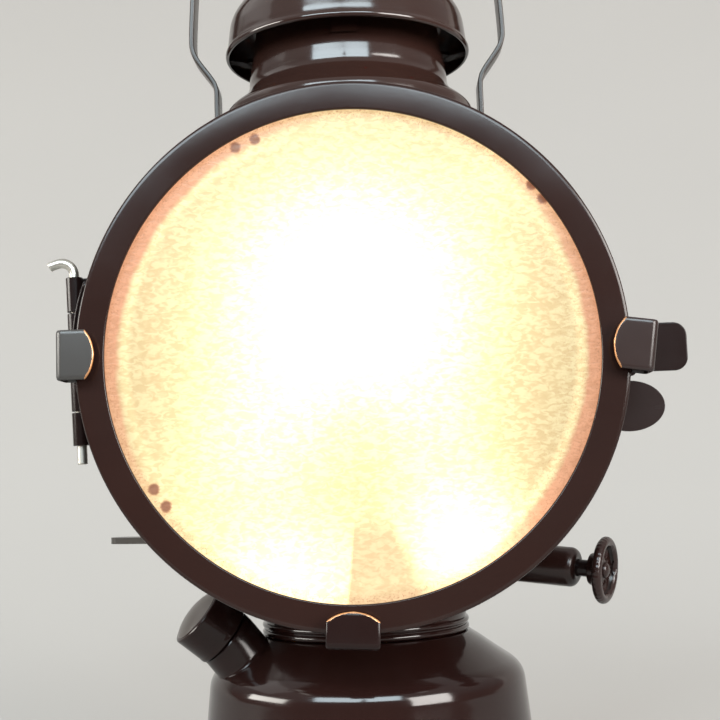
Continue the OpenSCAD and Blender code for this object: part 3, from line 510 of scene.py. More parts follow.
def make(name, verts, faces, mat, sharp=38.0, mats=None, face_mat=None, weighted=False):
    """Mesh object from millimetre points; normals made consistent, smooth with sharp corners."""
    me = bpy.data.meshes.new(name)
    me.from_pydata([(float(a) / 1000, float(b) / 1000, float(c) / 1000) for a, b, c in verts], [], faces)
    me.validate()
    bm = bmesh.new()
    bm.from_mesh(me)
    bmesh.ops.remove_doubles(bm, verts=bm.verts, dist=1e-7)
    bmesh.ops.recalc_face_normals(bm, faces=bm.faces)
    bm.to_mesh(me)
    bm.free()
    me.polygons.foreach_set("use_smooth", [True] * len(me.polygons))
    if sharp:
        me.set_sharp_from_angle(angle=math.radians(sharp))
    for m in mats or [mat]:
        me.materials.append(m)
    ob = bpy.data.objects.new(name, me)
    SC.collection.objects.link(ob)
    if face_mat is not None:
        for pl in me.polygons:
            pl.material_index = face_mat(pl)
    if weighted:
        ob.modifiers.new("weighted", "WEIGHTED_NORMAL").keep_sharp = True
    return ob


def lathe(name, prof, M, mat, segs=192, closed=False, warp=None, **kw):
    """Turns (r, h) points about local Z. Open profiles begin and end on the axis, closed ones are rings."""
    verts, faces, rows = [], [], []
    for r, h in prof:
        if r < 1e-5:
            rows.append([len(verts)])
            verts.append(M @ Vector((0, 0, h)))
            continue
        row = []
        for i in range(segs):
            a = 2 * PI * i / segs
            rr, hh = warp(r, h, a) if warp else (r, h)
            row.append(len(verts))
            verts.append(M @ Vector((rr * math.cos(a), rr * math.sin(a), hh)))
        rows.append(row)
    n = len(rows)
    for j in range(n if closed else n - 1):
        a, b = rows[j], rows[(j + 1) % n]
        if len(a) == 1 and len(b) == 1:
            continue
        for i in range(segs):
            i2 = (i + 1) % segs
            if len(a) == 1:
                faces.append((a[0], b[i], b[i2]))
            elif len(b) == 1:
                faces.append((a[i], a[i2], b[0]))
            else:
                faces.append((a[i], a[i2], b[i2], b[i]))
    return make(name, verts, faces, mat, **kw)


def plate(name, outline, t, M, mat, bevel=0.3, seg=3, holes=(), **kw):
    """A flat plate of thickness t (local +Z) from an outline, with rounded edges."""
    bm = bmesh.new()
    rings = [outline] + list(holes)
    if not holes:
        f = bm.faces.new([bm.verts.new((x, y, 0)) for x, y in outline])
        base = [f]
    else:
        es = []
        for ring in rings:
            vs = [bm.verts.new((x, y, 0)) for x, y in ring]
            es += [bm.edges.new((vs[i], vs[(i + 1) % len(vs)])) for i in range(len(vs))]
        base = [g for g in bmesh.ops.triangle_fill(bm, edges=es, use_beauty=True, use_dissolve=True, normal=(0, 0, 1))["geom"] if isinstance(g, bmesh.types.BMFace)]
    ext = bmesh.ops.extrude_face_region(bm, geom=base, use_keep_orig=True)
    bmesh.ops.translate(bm, vec=(0, 0, t), verts=[g for g in ext["geom"] if isinstance(g, bmesh.types.BMVert)])
    bmesh.ops.recalc_face_normals(bm, faces=bm.faces)
    rim = [e for e in bm.edges if len(e.link_faces) == 2 and e.calc_face_angle() > 1.1 and abs(e.verts[0].co.z - e.verts[1].co.z) < 1e-6]
    if bevel:
        bmesh.ops.bevel(bm, geom=rim, offset=bevel, segments=seg, profile=0.5, affect="EDGES", clamp_overlap=True)
    bm.verts.index_update()
    verts = [M @ v.co for v in bm.verts]
    faces = [[v.index for v in f.verts] for f in bm.faces]
    bm.free()
    kw.setdefault("weighted", True)
    return make(name, verts, faces, mat, **kw)


def round_rect(hw, ht, e, k=4):
    """Loop of a rounded rectangle, half sizes hw and ht; e is the corner radius, or its extents in width and thickness."""
    if isinstance(e, tuple):
        ex, ey, k = max(1e-4, min(e[0], hw * 0.999)), max(1e-4, min(e[1], ht * 0.999)), 7
    else:
        ex = ey = max(1e-4, min(e, hw * 0.999, ht * 0.999))
    pts = []
    for cx, cy, a0 in ((hw - ex, ht - ey, 0), (-(hw - ex), ht - ey, 90), (-(hw - ex), -(ht - ey), 180), (hw - ex, -(ht - ey), 270)):
        pts += [(cx + ex * math.cos(math.radians(a0 + 90 * j / k)), cy + ey * math.sin(math.radians(a0 + 90 * j / k))) for j in range(k + 1)]
    return pts


def strip(name, path, widths, t, e, place, mat, ends=(0.4, 0.4), **kw):
    """A flat strip bent along a 2-D path. widths gives the half width at each station; place(u, v, w) makes a point."""
    P = [np.array(p, float) for p in path]
    n = len(P)
    s = [0.0]
    for i in range(1, n):
        s.append(s[-1] + float(np.linalg.norm(P[i] - P[i - 1])))
    L = s[-1]
    # extra stations for the rounded ends
    stations = sorted(set([0.0, L] + s + [ends[0] * (1 - math.cos(PI / 2 * j / 7)) for j in range(8)] + [L - ends[1] * (1 - math.cos(PI / 2 * j / 4)) for j in range(5)]))
    stations = [q for i, q in enumerate(stations) if i == 0 or q - stations[i - 1] > 1e-4]
    verts, loops = [], []
    for q in stations:
        i = min(n - 2, max(0, next((j for j in range(n - 1) if s[j + 1] >= q - 1e-9), n - 2)))
        f = (q - s[i]) / max(1e-9, s[i + 1] - s[i])
        c = P[i] * (1 - f) + P[i + 1] * f

        def tang(j):
            d = P[min(n - 1, j + 1)] - P[max(0, j - 1)]
            return d / np.linalg.norm(d)

        d = tang(i) * (1 - f) + tang(i + 1) * f
        d = d / np.linalg.norm(d)
        nor = np.array((-d[1], d[0]))
        k = 1.0
        inset = 0.0
        for dist, end in ((q, ends[0]), (L - q, ends[1])):
            if end > 0 and dist < end:
                g = math.sqrt(max(0.0, 1 - (1 - dist / end) ** 2))
                k = min(k, 0.001 + 0.999 * g)
                inset = max(inset, end * (1 - g))
        hw = max(0.02, widths(q, L) - inset)
        ht = t / 2 * k
        loop = []
        for w, h in round_rect(hw, ht, e):
            uv = c + nor * h
            loop.append(len(verts))
            verts.append(place(uv[0], uv[1], w))
        loops.append(loop)
    faces = []
    m = len(loops[0])
    for a, b in zip(loops, loops[1:]):
        faces += [(a[i], a[(i + 1) % m], b[(i + 1) % m], b[i]) for i in range(m)]
    faces.append(tuple(reversed(loops[0])))
    faces.append(tuple(loops[-1]))
    return make(name, verts, faces, mat, **kw)


def tube(name, pts, r, mat, segs=32, cap_round=0.35, M=I4, **kw):
    """A round wire along 3-D points, its ends slightly rounded."""
    P = [M @ Vector(p) for p in pts]
    n = len(P)
    tang = [(P[min(n - 1, i + 1)] - P[max(0, i - 1)]).normalized() for i in range(n)]
    ref = Vector((0, 1, 0)) if abs(tang[0].y) < 0.9 else Vector((1, 0, 0))
    u = (ref - tang[0] * ref.dot(tang[0])).normalized()
    rings = []
    for i in range(n):
        u = (u - tang[i] * u.dot(tang[i])).normalized()
        w = tang[i].cross(u)
        rings.append((P[i], u.copy(), w, r(i / (n - 1)) if callable(r) else r))
    verts, faces, rows = [], [], []

    def row(c, u, w, rr):
        k = len(verts)
        verts.extend(c + (u * math.cos(2 * PI * i / segs) + w * math.sin(2 * PI * i / segs)) * rr for i in range(segs))
        rows.append(list(range(k, k + segs)))

    c0, u0, w0, r0 = rings[0]
    c1, u1, w1, r1 = rings[-1]
    row(c0, u0, w0, r0 - cap_round)
    for j in range(1, 5):
        a = PI / 2 * j / 4
        row(c0 + tang[0] * cap_round * (1 - math.cos(a)), u0, w0, r0 - cap_round + cap_round * math.sin(a))
    for c, uu, ww, rr in rings[1:-1]:
        row(c, uu, ww, rr)
    for j in range(4, 0, -1):
        a = PI / 2 * j / 4
        row(c1 - tang[-1] * cap_round * (1 - math.cos(a)), u1, w1, r1 - cap_round + cap_round * math.sin(a))
    row(c1, u1, w1, r1 - cap_round)
    for a, b in zip(rows, rows[1:]):
        faces += [(a[i], a[(i + 1) % segs], b[(i + 1) % segs], b[i]) for i in range(segs)]
    faces.append(tuple(reversed(rows[0])))
    faces.append(tuple(rows[-1]))
    return make(name, verts, faces, mat, **kw)


def join(name, objs, sharp=38.0):
    """Joins mesh objects into one, keeping their materials."""
    bm = bmesh.new()
    mats, offs = [], []
    for o in objs:
        idx = []
        for m in o.data.materials:
            if m not in mats:
                mats.append(m)
            idx.append(mats.index(m))
        n0 = len(bm.faces)
        bm.from_mesh(o.data)
        bm.faces.ensure_lookup_table()
        for f in bm.faces[n0:]:
            f.material_index = idx[f.material_index]
    me = bpy.data.meshes.new(name)
    bm.to_mesh(me)
    bm.free()
    for m in mats:
        me.materials.append(m)
    for o in objs:
        d = o.data
        bpy.data.objects.remove(o)
        bpy.data.meshes.remove(d)
    me.polygons.foreach_set("use_smooth", [True] * len(me.polygons))
    me.set_sharp_from_angle(angle=math.radians(sharp))
    ob = bpy.data.objects.new(name, me)
    SC.collection.objects.link(ob)
    ob.modifiers.new("weighted", "WEIGHTED_NORMAL").keep_sharp = True
    return ob


def settle(ob, body, slot, *nodes):
    if nodes:
        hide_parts(*nodes)
    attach(ob, body)
    return ob


def dome(r, h, M, mat, name, foot=0.0):
    prof = [(0, h)] + [(r * math.sin(math.radians(a)), h * math.cos(math.radians(a))) for a in range(10, 91, 10)] + [(r, -foot), (0, -foot)]
    return lathe(name, prof, M, mat, segs=40)


# ------------------------------------------------------------------ chimney
CROWN = [(42, 228), (41.6, 230.2), (41.0, 232.6), (40.78, 234.6), (40.6, 235.5), (40.2, 236.25), (39.2, 237.3), (37.0, 238.95), (35.3, 240.4), (34.1, 241.9), (33.3, 243.4),
         (32.9, 244.9), (32.78, 246.6), (32.55, 248.6), (32.2, 251.2), (31.2, 257.5), (30.2, 264)]
outer = smooth_line(CROWN, 6)
inner = [(r - 0.85, h - (0.6 if 22 < i < 60 else 0)) for i, (r, h) in enumerate(outer) if i > 7][::-1]
prof = outer + [(30.0, 264.3), (29.55, 264.3)] + inner[1:] + [(40.35, 229.5), (40.35, 222.0), (41.05, 222.0), (41.15, 227.95)]
ob = lathe("chimney_crown", prof, I4, M_HOOD, closed=True, segs=224)
settle(ob, "root", "black_paint", "crown")

RIM = 263.5
dome_pts = [(39.1, RIM)] + [(39.0 * math.cos(a), RIM + 20.0 * math.sin(a)) for a in [math.radians(x) for x in range(6, 89, 4)]]
bead_pts = [(39.78 + 0.72 * math.cos(math.radians(a)), 256.1 + 1.05 * math.sin(math.radians(a))) for a in range(-100, 72, 9)]
brim = smooth_line([(39.82, 257.45), (39.72, 258.2), (39.6, 259.4), (39.38, 261.2), (39.1, RIM)], 5)
out = bead_pts + brim[:-1] + dome_pts + [(2.0, RIM + 19.98), (0, RIM + 20.0)]
inn = [(0, RIM + 19.2), (2.0, RIM + 19.18)] + [(max(0.5, r - 0.85), h - 0.75) for r, h in dome_pts[::-1] if r > 6] + [(38.5, 261.2), (38.72, 259.4), (38.85, 258.0), (39.1, 256.8), (39.3, 255.7), (39.42, 255.2)]
ob = lathe("hood_dome", out + inn, I4, M_HOOD, segs=224, closed=True)
settle(ob, "root", "black_paint", "chimney_hood")

# ------------------------------------------------------------------ collar and tank


def bead(rc, hc, r, a0=80, a1=-80, n=10):
    return [(rc + r * math.cos(math.radians(a0 + (a1 - a0) * j / n)), hc + r * math.sin(math.radians(a0 + (a1 - a0) * j / n))) for j in range(n + 1)]


prof = [(31.2, 79.1), (32.1, 79.1), (32.3, 78.9), (32.25, 75.5), (32.1, 72.0)] + bead(32.0, 70.72, 0.95) + bead(32.0, 68.55, 0.95) + [(31.8, 67.45), (31.2, 67.4)]
settle(lathe("beaded_collar", prof, I4, M_TANK, closed=True, segs=224), "root", "black_paint", "collar")

TANK = [(33.2, 67.2), (36.9, 64.75), (39.5, 62.9), (42.2, 61), (44.9, 59.15), (46.44, 58.1), (47.76, 56.96), (48.8, 55.58), (49.52, 54.0), (49.88, 52.3), (50.15, 49.6), (51.2, 39.1), (52.8, 21), (54.5, 2.6)]
tk = smooth_line(TANK, 7)
prof = [(21, 66.45), (21, 67.3), (32.0, 67.3), (32.7, 67.27)] + tk + [(54.35, 2.35), (53.8, 2.4)] + [(r - 0.8, h - (0.55 if h > 56 else 0)) for r, h in tk[::-1][1:] if h < 66] + [(33, 66.45)]
ob = lathe("oil_tank", prof, I4, M_TANK, closed=True, segs=224)
settle(ob, "root", "black_paint", "tank_shell")

# filler spout: foot flared into the shoulder, tube, slow bend, lip under the cap
bend_h = 14 * math.tan(math.radians(6))


def spout():
    segs, rows, verts = 96, [], []

    def ring(M, r, h):
        k = len(verts)
        verts.extend(M @ Vector((r * math.cos(2 * PI * i / segs), r * math.sin(2 * PI * i / segs), h)) for i in range(segs))
        rows.append(list(range(k, k + segs)))

    def drop(r):
        """Ring on the tank's shoulder: each point slides down the neck's axis to the tank wall."""
        k = len(verts)
        Ni = NECK
        for i in range(segs):
            a = 2 * PI * i / segs
            h, best = -6.0, None
            for step in range(400):
                q = Ni @ Vector((r * math.cos(a), r * math.sin(a), h))
                rad = math.hypot(q.x, q.y)
                wall = np.interp(q.z, [p[1] for p in TANK][::-1], [p[0] for p in TANK][::-1])
                if rad > wall - 0.25 or q.z > 67.0:
                    break
                h += 0.04
            verts.append(Ni @ Vector((r * math.cos(a), r * math.sin(a), h)))
        rows.append(list(range(k, k + segs)))

    drop(10.1)
    drop(9.75)
    base = [Vector(v) for v in verts[-segs:]]
    # short fillet from the shoulder to the tube
    for f, r in ((0.35, 9.5), (0.8, 9.36), (1.5, 9.3)):
        k = len(verts)
        ax = (NECK.to_3x3() @ Vector((0, 0, 1))).normalized()
        for i in range(segs):
            a = 2 * PI * i / segs
            q = NECK.inverted() @ base[i]
            verts.append(NECK @ Vector((r * math.cos(a), r * math.sin(a), q.z + f)))
        rows.append(list(range(k, k + segs)))
    ring(NECK, 9.3, 8.2)
    for j in range(1, 9):
        M = NECK @ T(0, 0, 9.2) @ T(14, 0, 0) @ R(12 * j / 8, "Y") @ T(-14, 0, 0)
        if j < 8:
            ring(M, 9.3, 0)
    ring(CAP, 9.25, -0.35)
    ring(CAP, 9.05, -0.05)
    ring(CAP, 8.0, 0.0)
    ring(CAP, 7.9, 0.15)
    ring(CAP, 7.9, 7.2)
    ring(CAP, 7.7, 7.45)
    ring(CAP, 6.9, 7.45)
    ring(CAP, 6.7, 7.2)
    ring(CAP, 6.7, 0)
    ring(NECK, 6.7, 7)
    ring(NECK, 6.7, -3.6)
    faces = []
    for a, b in zip(rows, rows[1:]):
        faces += [(a[i], a[(i + 1) % segs], b[(i + 1) % segs], b[i]) for i in range(segs)]
    a, b = rows[-1], rows[0]
    faces += [(a[i], a[(i + 1) % segs], b[(i + 1) % segs], b[i]) for i in range(segs)]
    return make("filler_spout", verts, faces, M_CAP)


settle(spout(), "root", "black_paint", "filler_neck")

# filler cap: plain cup with rolled lower edge and shallow pressed end
prof = fillet([(8.35, 0.4), (9.55, 0.4, 0.3), (9.75, 0.75, 0.2), (9.72, 1.5), (9.62, 2.1, 0.4), (9.66, 3.0, 0.5), (9.72, 10.8, 0.4), (9.35, 11.15, 0.35), (8.6, 11.35, 0.5)]) + \
    [(r, 11.3 + 2.05 * (1 - (r / 8.6) ** 2) ** 0.8) for r in (8.2, 7.4, 6.4, 5.2, 3.9, 2.6, 1.3)] + [(0, 13.35), (0, 12.4), (6.0, 11.3), (8.0, 10.0), (8.35, 9.4)]
CAP_INV = CAP.inverted()


# the cap's end face takes the lighter paint: a painted sheen
def cap_end(pl):
    c = CAP_INV @ (pl.center * 1000)
    return 1 if c.z > 11.3 else 0


ob = lathe("filler_cap_shell", prof, CAP, None, segs=160, mats=[M_CAP, M_CAP_END_SHEEN], face_mat=cap_end)
settle(ob, "filler_cap", "black_paint", "filler_cap")

# ------------------------------------------------------------------ door
prof = fillet([(67.4, 69.05), (67.4, 70.0, 0.42), (74.35, 70.0, 2.6), (75.35, 69.72, 0.85), (75.35, 56.0, 0.35), (74.4, 56.0, 0.35), (74.4, 68.6, 1.6), (72.9, 69.05, 0.3)], closed=True, step=7)


def ring_warp(r, h, a):
    # a spun ring is never quite flat: a very slight unevenness of the face
    k = max(0.0, min(1.0, (h - 66) / 4))
    return r, h + k * 0.03 * (math.sin(3 * a + 0.7) + 0.6 * math.sin(7 * a + 2.1) + 0.35 * math.sin(13 * a))


ob = lathe("door_ring_rolled", prof, FRONT, M_RING, closed=True, segs=320, warp=ring_warp)
settle(ob, "door", "ring_paint", "door_ring")


def pane():
    """Front glass with its pebbled face raised and sunk for real, smooth back."""
    verts, faces, segs = [], [], 420
    radii = [0.0] + [71.0 * (j / 96) for j in range(1, 97)]

    def ring(r, f, peb):
        k = len(verts)
        if r == 0:
            verts.append((0, -f, RZ))
            return [k]
        for i in range(segs):
            a = 2 * PI * i / segs
            x, z = r * math.cos(a), r * math.sin(a)
            d = 0.0
            if peb:
                d = 0.07 * noise.noise(Vector((x / 1.5, z / 1.5, 3.1))) + 0.035 * noise.noise(Vector((x / 0.8, z / 0.8, 9.4)))
                d *= min(1.0, (71.0 - r) / 3.0 + 0.0)
            verts.append((x, -(f + d), RZ + z))
        return list(range(k, k + segs))

    rows = [ring(r, 67.93, True) for r in radii[:-1]] + [ring(70.6, 67.93, False), ring(70.95, 67.6, False), ring(70.95, 65.4, False), ring(70.6, 65.05, False), ring(35, 65.05, False), ring(0, 65.05, False)]
    for a, b in zip(rows, rows[1:]):
        for i in range(segs):
            i2 = (i + 1) % segs
            if len(a) == 1:
                faces.append((a[0], b[i], b[i2]))
            elif len(b) == 1:
                faces.append((a[i], a[i2], b[0]))
            else:
                faces.append((a[i], a[i2], b[i2], b[i]))
    return make("pebbled_pane", verts, faces, None, mats=[M_GLASS, M_GLASS_BACK], face_mat=lambda pl: 0 if pl.normal.y < -0.6 and pl.center.y < -0.067 else 1)


settle(pane(), "door", "pebbled_glass", "front_glass")

# ------------------------------------------------------------------ slip-in clips
CLIPS = {"left_clip": (178.9, 13.5, 79.6, 0.9, 69.05), "right_clip": (-0.5, 13.9, 81.4, -7.8, 69.75), "bottom_clip": (268.5, 14.3, 78.8, -1.3, 68.7)}


# the left and bottom clips get lighter and darker copies of the clip paint: painted light and shade
CLIP_PAINT = {"left_clip": M_CLIP_LIT, "bottom_clip": M_CLIP_SHADED}


def make_clip(node):
    ang, w, reach, skew, tip = CLIPS[node]
    t = 1.1
    f0 = 73.6 + t / 2
    path = fillet([(tip, f0), (reach - t / 2, f0, 1.45), (reach - t / 2, 64.85, 0.9), (75.97, 64.85, 0.75), (75.97, 57.3)], step=6)
    # more stations along the arc of the inner end
    Rr = 0.75 * w
    extra = [(tip + Rr * (1 - math.cos(math.radians(a))), f0) for a in (4, 8, 12, 16, 20, 24, 28, 32, 36, 39.5, 42)]
    path = [path[0]] + [q for q in extra if q[0] < path[1][0] - 0.2] + path[1:]

    def width(q, L):
        h = math.sqrt(max(0.0, Rr * Rr - (Rr - q) ** 2)) if q < Rr else w / 2
        h = min(h, w / 2)
        k = max(0.0, min(1.0, (q - (L - 2.2)) / 2.2))
        return h - 1.2 * k * k * (1 if q > 8 else 0)

    Mx = T(0, 0, RZ) @ R(-ang, "Y") @ T(75, 0, 0) @ R(-skew, "Y") @ T(-75, 0, 0)

    def place(u, v, ww):
        q = Mx @ Vector((u, -v, ww))
        if v < 66.5 and u < 78.4:  # the foot follows the skirt
            rr = math.hypot(q.x, q.z - RZ)
            f = 1 + (u / rr - 1) * min(1.0, (78.4 - u) / 1.6)
            q = Vector((q.x * f, q.y, RZ + (q.z - RZ) * f))
        return q

    inv = Mx.inverted()

    def glint_edge(pl):
        # the inner arc's edge: metal whose copper tint is a painted orange glint of the glowing glass; the metal also
        # reflects the glass for real
        c = inv @ (pl.center * 1000)
        return 1 if c.y < -73.55 and c.x < tip + 0.55 * Rr and math.hypot(c.x - tip - Rr, c.z) > Rr - 0.38 else 0

    return strip("bent_" + node, path, width, t, (1.3, 0.5), place, None, ends=(1.2, 0.35), sharp=50, mats=[CLIP_PAINT.get(node, M_CLIP), M_EDGE_GLINT], face_mat=glint_edge)


for node in CLIPS:
    settle(make_clip(node), "door", "ring_paint", node)

heads = []
for i, (node, (ang, w, reach, skew, tip)) in enumerate(CLIPS.items()):
    for s in (-3.4, 3.4):
        q = R(-ang, "Y") @ T(75, 0, 0) @ R(-skew, "Y") @ Vector((1.4, 0, s))
        M = T(0, 0, RZ) @ R(-math.degrees(math.atan2(q.z, q.x)), "Y") @ T(76.45, -60.6, 0) @ R(90, "Y")
        heads.append(dome(1.55, 0.85, M, M_CLIP, "h%d%d" % (i, s > 0), 0.3))
settle(join("clip_rivet_heads", heads), "door", "ring_paint", "clip_rivets")

# ------------------------------------------------------------------ tabs
# door tab: rounded end, flat plate
tab = fillet([(75.5, -6.8, 0), (93.45, -6.8, 3.8), (93.45, 6.8, 3.8), (75.5, 6.8, 0)], closed=True, step=6)
arc = [(math.sqrt(75.41 ** 2 - y * y), y) for y in np.linspace(6.8, -6.8, 15)]
tab = [p for p in tab if p[0] > 75.6] + arc
tab = [(x, y - 0.2) for x, y in tab]
obs = [plate("tab_plate", tab, 1.05, T(0, -56.0, RZ) @ R(90, "X"), M_TRIM, bevel=0.36, seg=3)]


def skirt_place(y):
    def place(u, v, ww):
        a, rr = u / 75.9, 75.9 + v
        return Vector((rr * math.cos(a), y + ww, RZ + rr * math.sin(a)))
    return place


# its foot, bent along the skirt under the tab
obs.append(strip("tab_foot", [(-17.8 + 0.65 * j, 0) for j in range(15)], lambda q, L: 2.4, 0.95, 0.35, skirt_place(-58.45), M_TRIM, ends=(0.4, 0.3)))
obs.append(strip("tab_link", [(-9.6 + 0.8 * j, 0) for j in range(6)], lambda q, L: 0.44, 0.95, 0.2, skirt_place(-56.5), M_TRIM, ends=(0.2, 0.2)))
obs.append(lathe("tab_bead", [(0, 0), (1.2, 0), (1.5, 0.2), (1.5, 0.8), (1.3, 1.05), (0, 1.05)], T(77.4, -56.0, RZ - 6.6) @ R(90, "X"), M_TRIM, segs=32))
settle(join("door_tab", obs), "door", "black_paint", "door_thumb_tab")
obs = [dome(1.3, 0.7, T(78.6, -57.08, RZ + s * 4) @ R(90, "X"), M_TRIM, "dr%d" % s, 0.02) for s in (-1, 1)]
settle(join("door_tab_rivets", obs), "door", "black_paint", "door_rivets")

# body tab: half-oval plate on the drum
oval = [(77.4 + 10.0 * math.cos(a), -16.25 + 7.15 * math.sin(a)) for a in [2 * PI * i / 120 for i in range(120)]]
oval = [(x, y) for x, y in oval if x > 70.5]
oval = [q for q in oval if math.hypot(*q) > 72.5]
ring = sorted(oval, key=lambda q: math.atan2(q[1] + 16.25, q[0] - 77.4))
a_hi = math.atan2(ring[-1][1], ring[-1][0])
a_lo = math.atan2(ring[0][1], ring[0][0])
arc = [(72.46 * math.cos(a_hi + (a_lo - a_hi) * j / 14), 72.46 * math.sin(a_hi + (a_lo - a_hi) * j / 14)) for j in range(15)]
obs = [plate("bt_plate", ring + arc, 1.2, T(0, -51.2, RZ) @ R(90, "X"), M_BTAB_LIT, bevel=0.38, seg=3)]
# its foot, bent along the drum's side
Mx = T(0, 0, RZ)


def drum_place(u, v, ww):
    a = u / 72.95
    rr = 72.98 + v
    return Vector((rr * math.cos(a), -48.2 + ww, RZ + rr * math.sin(a)))


foot = strip("bt_foot", [(-22.0 + 0.66 * i, 0) for i in range(20)], lambda q, L: 4.1, 1.0, 0.35, drum_place, M_BTAB_LIT, ends=(0.4, 0.4))
settle(join("body_tab", obs + [foot]), "root", "black_paint", "body_thumb_tab")

# ------------------------------------------------------------------ hinge
# wire pin with its top bent over to the left
pts = [(0, 0, -27.6), (0, 0, -27.2), (0, 0, -20), (0, 0, 0), (0, 0, 20)] + [(0, 0, 26.4)]
cx, cz, rr = -3.6, 27.2, 3.6
pts += [(cx + rr * math.cos(math.radians(a)), 0, cz + rr * math.sin(math.radians(a))) for a in range(6, 103, 6)]
ex, ez = pts[-1][0], pts[-1][2]
pts += [(ex - 0.9, 0, ez - 0.2), (ex - 1.9, 0, ez - 0.5), (ex - 2.7, 0, ez - 0.85)]
ob = tube("hinge_wire", pts, 1.4, M_ZINC, segs=40, cap_round=0.3, M=HINGE)
settle(ob, "root", "zinc_wire", "hinge_pin")


def knuckle(name, z0, length, turn, mat, leaf=8.0, gap=0.25, side=1):
    """A rolled knuckle: the leaf comes in flat behind the pin and rolls round it."""
    t = 0.95
    rm = 1.47 + t / 2
    # path in the hinge's XY plane, leaf along +X at y = side * rm
    path = [(leaf - 0.8 * j, side * rm) for j in range(int(leaf / 0.8))] + [(0.0, side * rm)]
    path += [(rm * math.cos(math.radians(90 + a)), side * rm * math.sin(math.radians(90 + a))) for a in range(9, turn, 9)]

    def place(u, v, ww):
        return HINGE @ Vector((u, v, z0 + length / 2 + ww))

    return strip(name, path, lambda q, L: length / 2, t, 0.22, place, mat, ends=(0.0, 0.3))


body = [knuckle("bk1", 16.2, 10.1, 290, M_TRIM), knuckle("bk2", -22.2, 9.4, 290, M_TRIM)]


def leaf_place(u, v, ww):
    a = PI - u / 72.95
    rr = 72.98 + v
    return Vector((rr * math.cos(a), -49.8 + ww, RZ + rr * math.sin(a)))


body.append(strip("bleaf", [(-20.6 + 0.8 * j, 0) for j in range(62)], lambda q, L: 5.1, 0.95, 0.3, leaf_place, M_TRIM, ends=(0.4, 0.4)))
settle(join("body_hinge_rolled", body), "root", "black_paint", "body_hinge_leaf")
obs = []
for i, a in enumerate((172.5, 184.5)):
    obs.append(dome(1.6, 0.85, T(0, -47, RZ) @ R(-a, "Y") @ T(73.4, 0, 0) @ R(90, "Y"), M_TRIM, "hr%d" % i, 0.2))
settle(join("hinge_rivet_heads", obs), "root", "black_paint", "hinge_rivets")

# door half: crescent lug with a turned rim, and the long middle knuckle
lug = []
for z in np.linspace(-7.3, 24.1, 40):
    q = 57 ** 2 - (z - 4.5) ** 2
    lug.append((-22.6 - math.sqrt(q), z))
inner_arc = [(-math.sqrt(74.6 ** 2 - z * z), z) for z in np.linspace(lug[-1][1], lug[0][1], 40)]
obs = [plate("lug_plate", lug + inner_arc, 1.0, T(0, -54.9, RZ) @ R(90, "X"), M_TRIM, bevel=0.3, seg=3)]
obs.append(tube("lug_rim", [(x + 0.45, -55.95, RZ + z) for x, z in lug], 0.42, M_TRIM, segs=16, cap_round=0.2))
for i, (x, z) in enumerate(((-75.4, 23.0), (-77.4, -6.2))):
    obs.append(dome(1.05, 0.75, T(x, -55.9, RZ + z) @ R(90, "X"), M_TRIM, "lr%d" % i, 0.1))
obs.append(knuckle("dk", -12.4, 28.2, 300, M_TRIM, leaf=5.2, side=-1))
settle(join("door_hinge_lug", obs), "door", "black_paint", "door_hinge_plate")

# ------------------------------------------------------------------ bail
bail_path = [(42.8, 203 - 4.4), (42.8, 203), (42.8, 225), (42.8, 238.6), (42.8, 243.8), (42.95, 245.6), (43.55, 247.7), (44.8, 249.9), (46.8, 252.7), (48.7, 255.4), (49.95, 257.6), (50.6, 259.6), (50.78, 261.8), (50.55, 268.4), (49.55, 284), (48.2, 300)]
seg1 = smooth_line(bail_path[2:], 6)
arch = [(48.2 - 34 + 34 * math.cos(math.radians(a)), 300 + 34 * math.sin(math.radians(a))) for a in range(5, 90, 5)]
half = [bail_path[0], bail_path[1]] + seg1 + arch + [(14.2, 334), (7, 334)]
half = [(x + 0.8, z) for x, z in half]
half = [(x, z + 0.0) for x, z in half]
# the strip's middle line stands half a thickness outside the inner line
inner_line = [(x - 0.8, z) for x, z in half]
mid = []
for i, p in enumerate(inner_line):
    a = np.array(inner_line[max(0, i - 1)])
    b = np.array(inner_line[min(len(inner_line) - 1, i + 1)])
    d = (b - a) / np.linalg.norm(b - a)
    mid.append((p[0] + 0.8 * d[1], p[1] - 0.8 * d[0]))
mid = [(x, z) if z < 334.2 else (x, 334.8) for x, z in mid]
full = mid + [(0, 334.8)] + [(-x, z) for x, z in mid[::-1]]


def bail_width(q, L):
    d = min(q, L - q)
    if d < 4.5:
        return math.sqrt(max(0.01, 4.5 ** 2 - (4.5 - d) ** 2))
    return 4.5


dense = []
for a, b in zip(full, full[1:]):
    n = max(1, int(math.dist(a, b) / 2.2))
    dense += [(a[0] + (b[0] - a[0]) * j / n, a[1] + (b[1] - a[1]) * j / n) for j in range(n)]
dense.append(full[-1])
first = [(43.6, 198.5 + 4.5 * (1 - math.cos(math.radians(a)))) for a in range(0, 91, 10)]
dense = first + [p for p in dense if p[1] > 203.2 or False]
dense = [p for i, p in enumerate(dense)]
# mirror the rounded foot to the other end
right = [p for p in dense if p[0] > 0.5]
left = [(-x, z) for x, z in right[::-1]]
path = right + [(0, 334.8)] + left
ob = strip("bail_strip", path, bail_width, 1.6, 0.45, lambda u, v, w: Vector((u, w, v)), M_BAIL, ends=(0.3, 0.3), sharp=50)
settle(ob, "bail", "bail_steel", "bail")

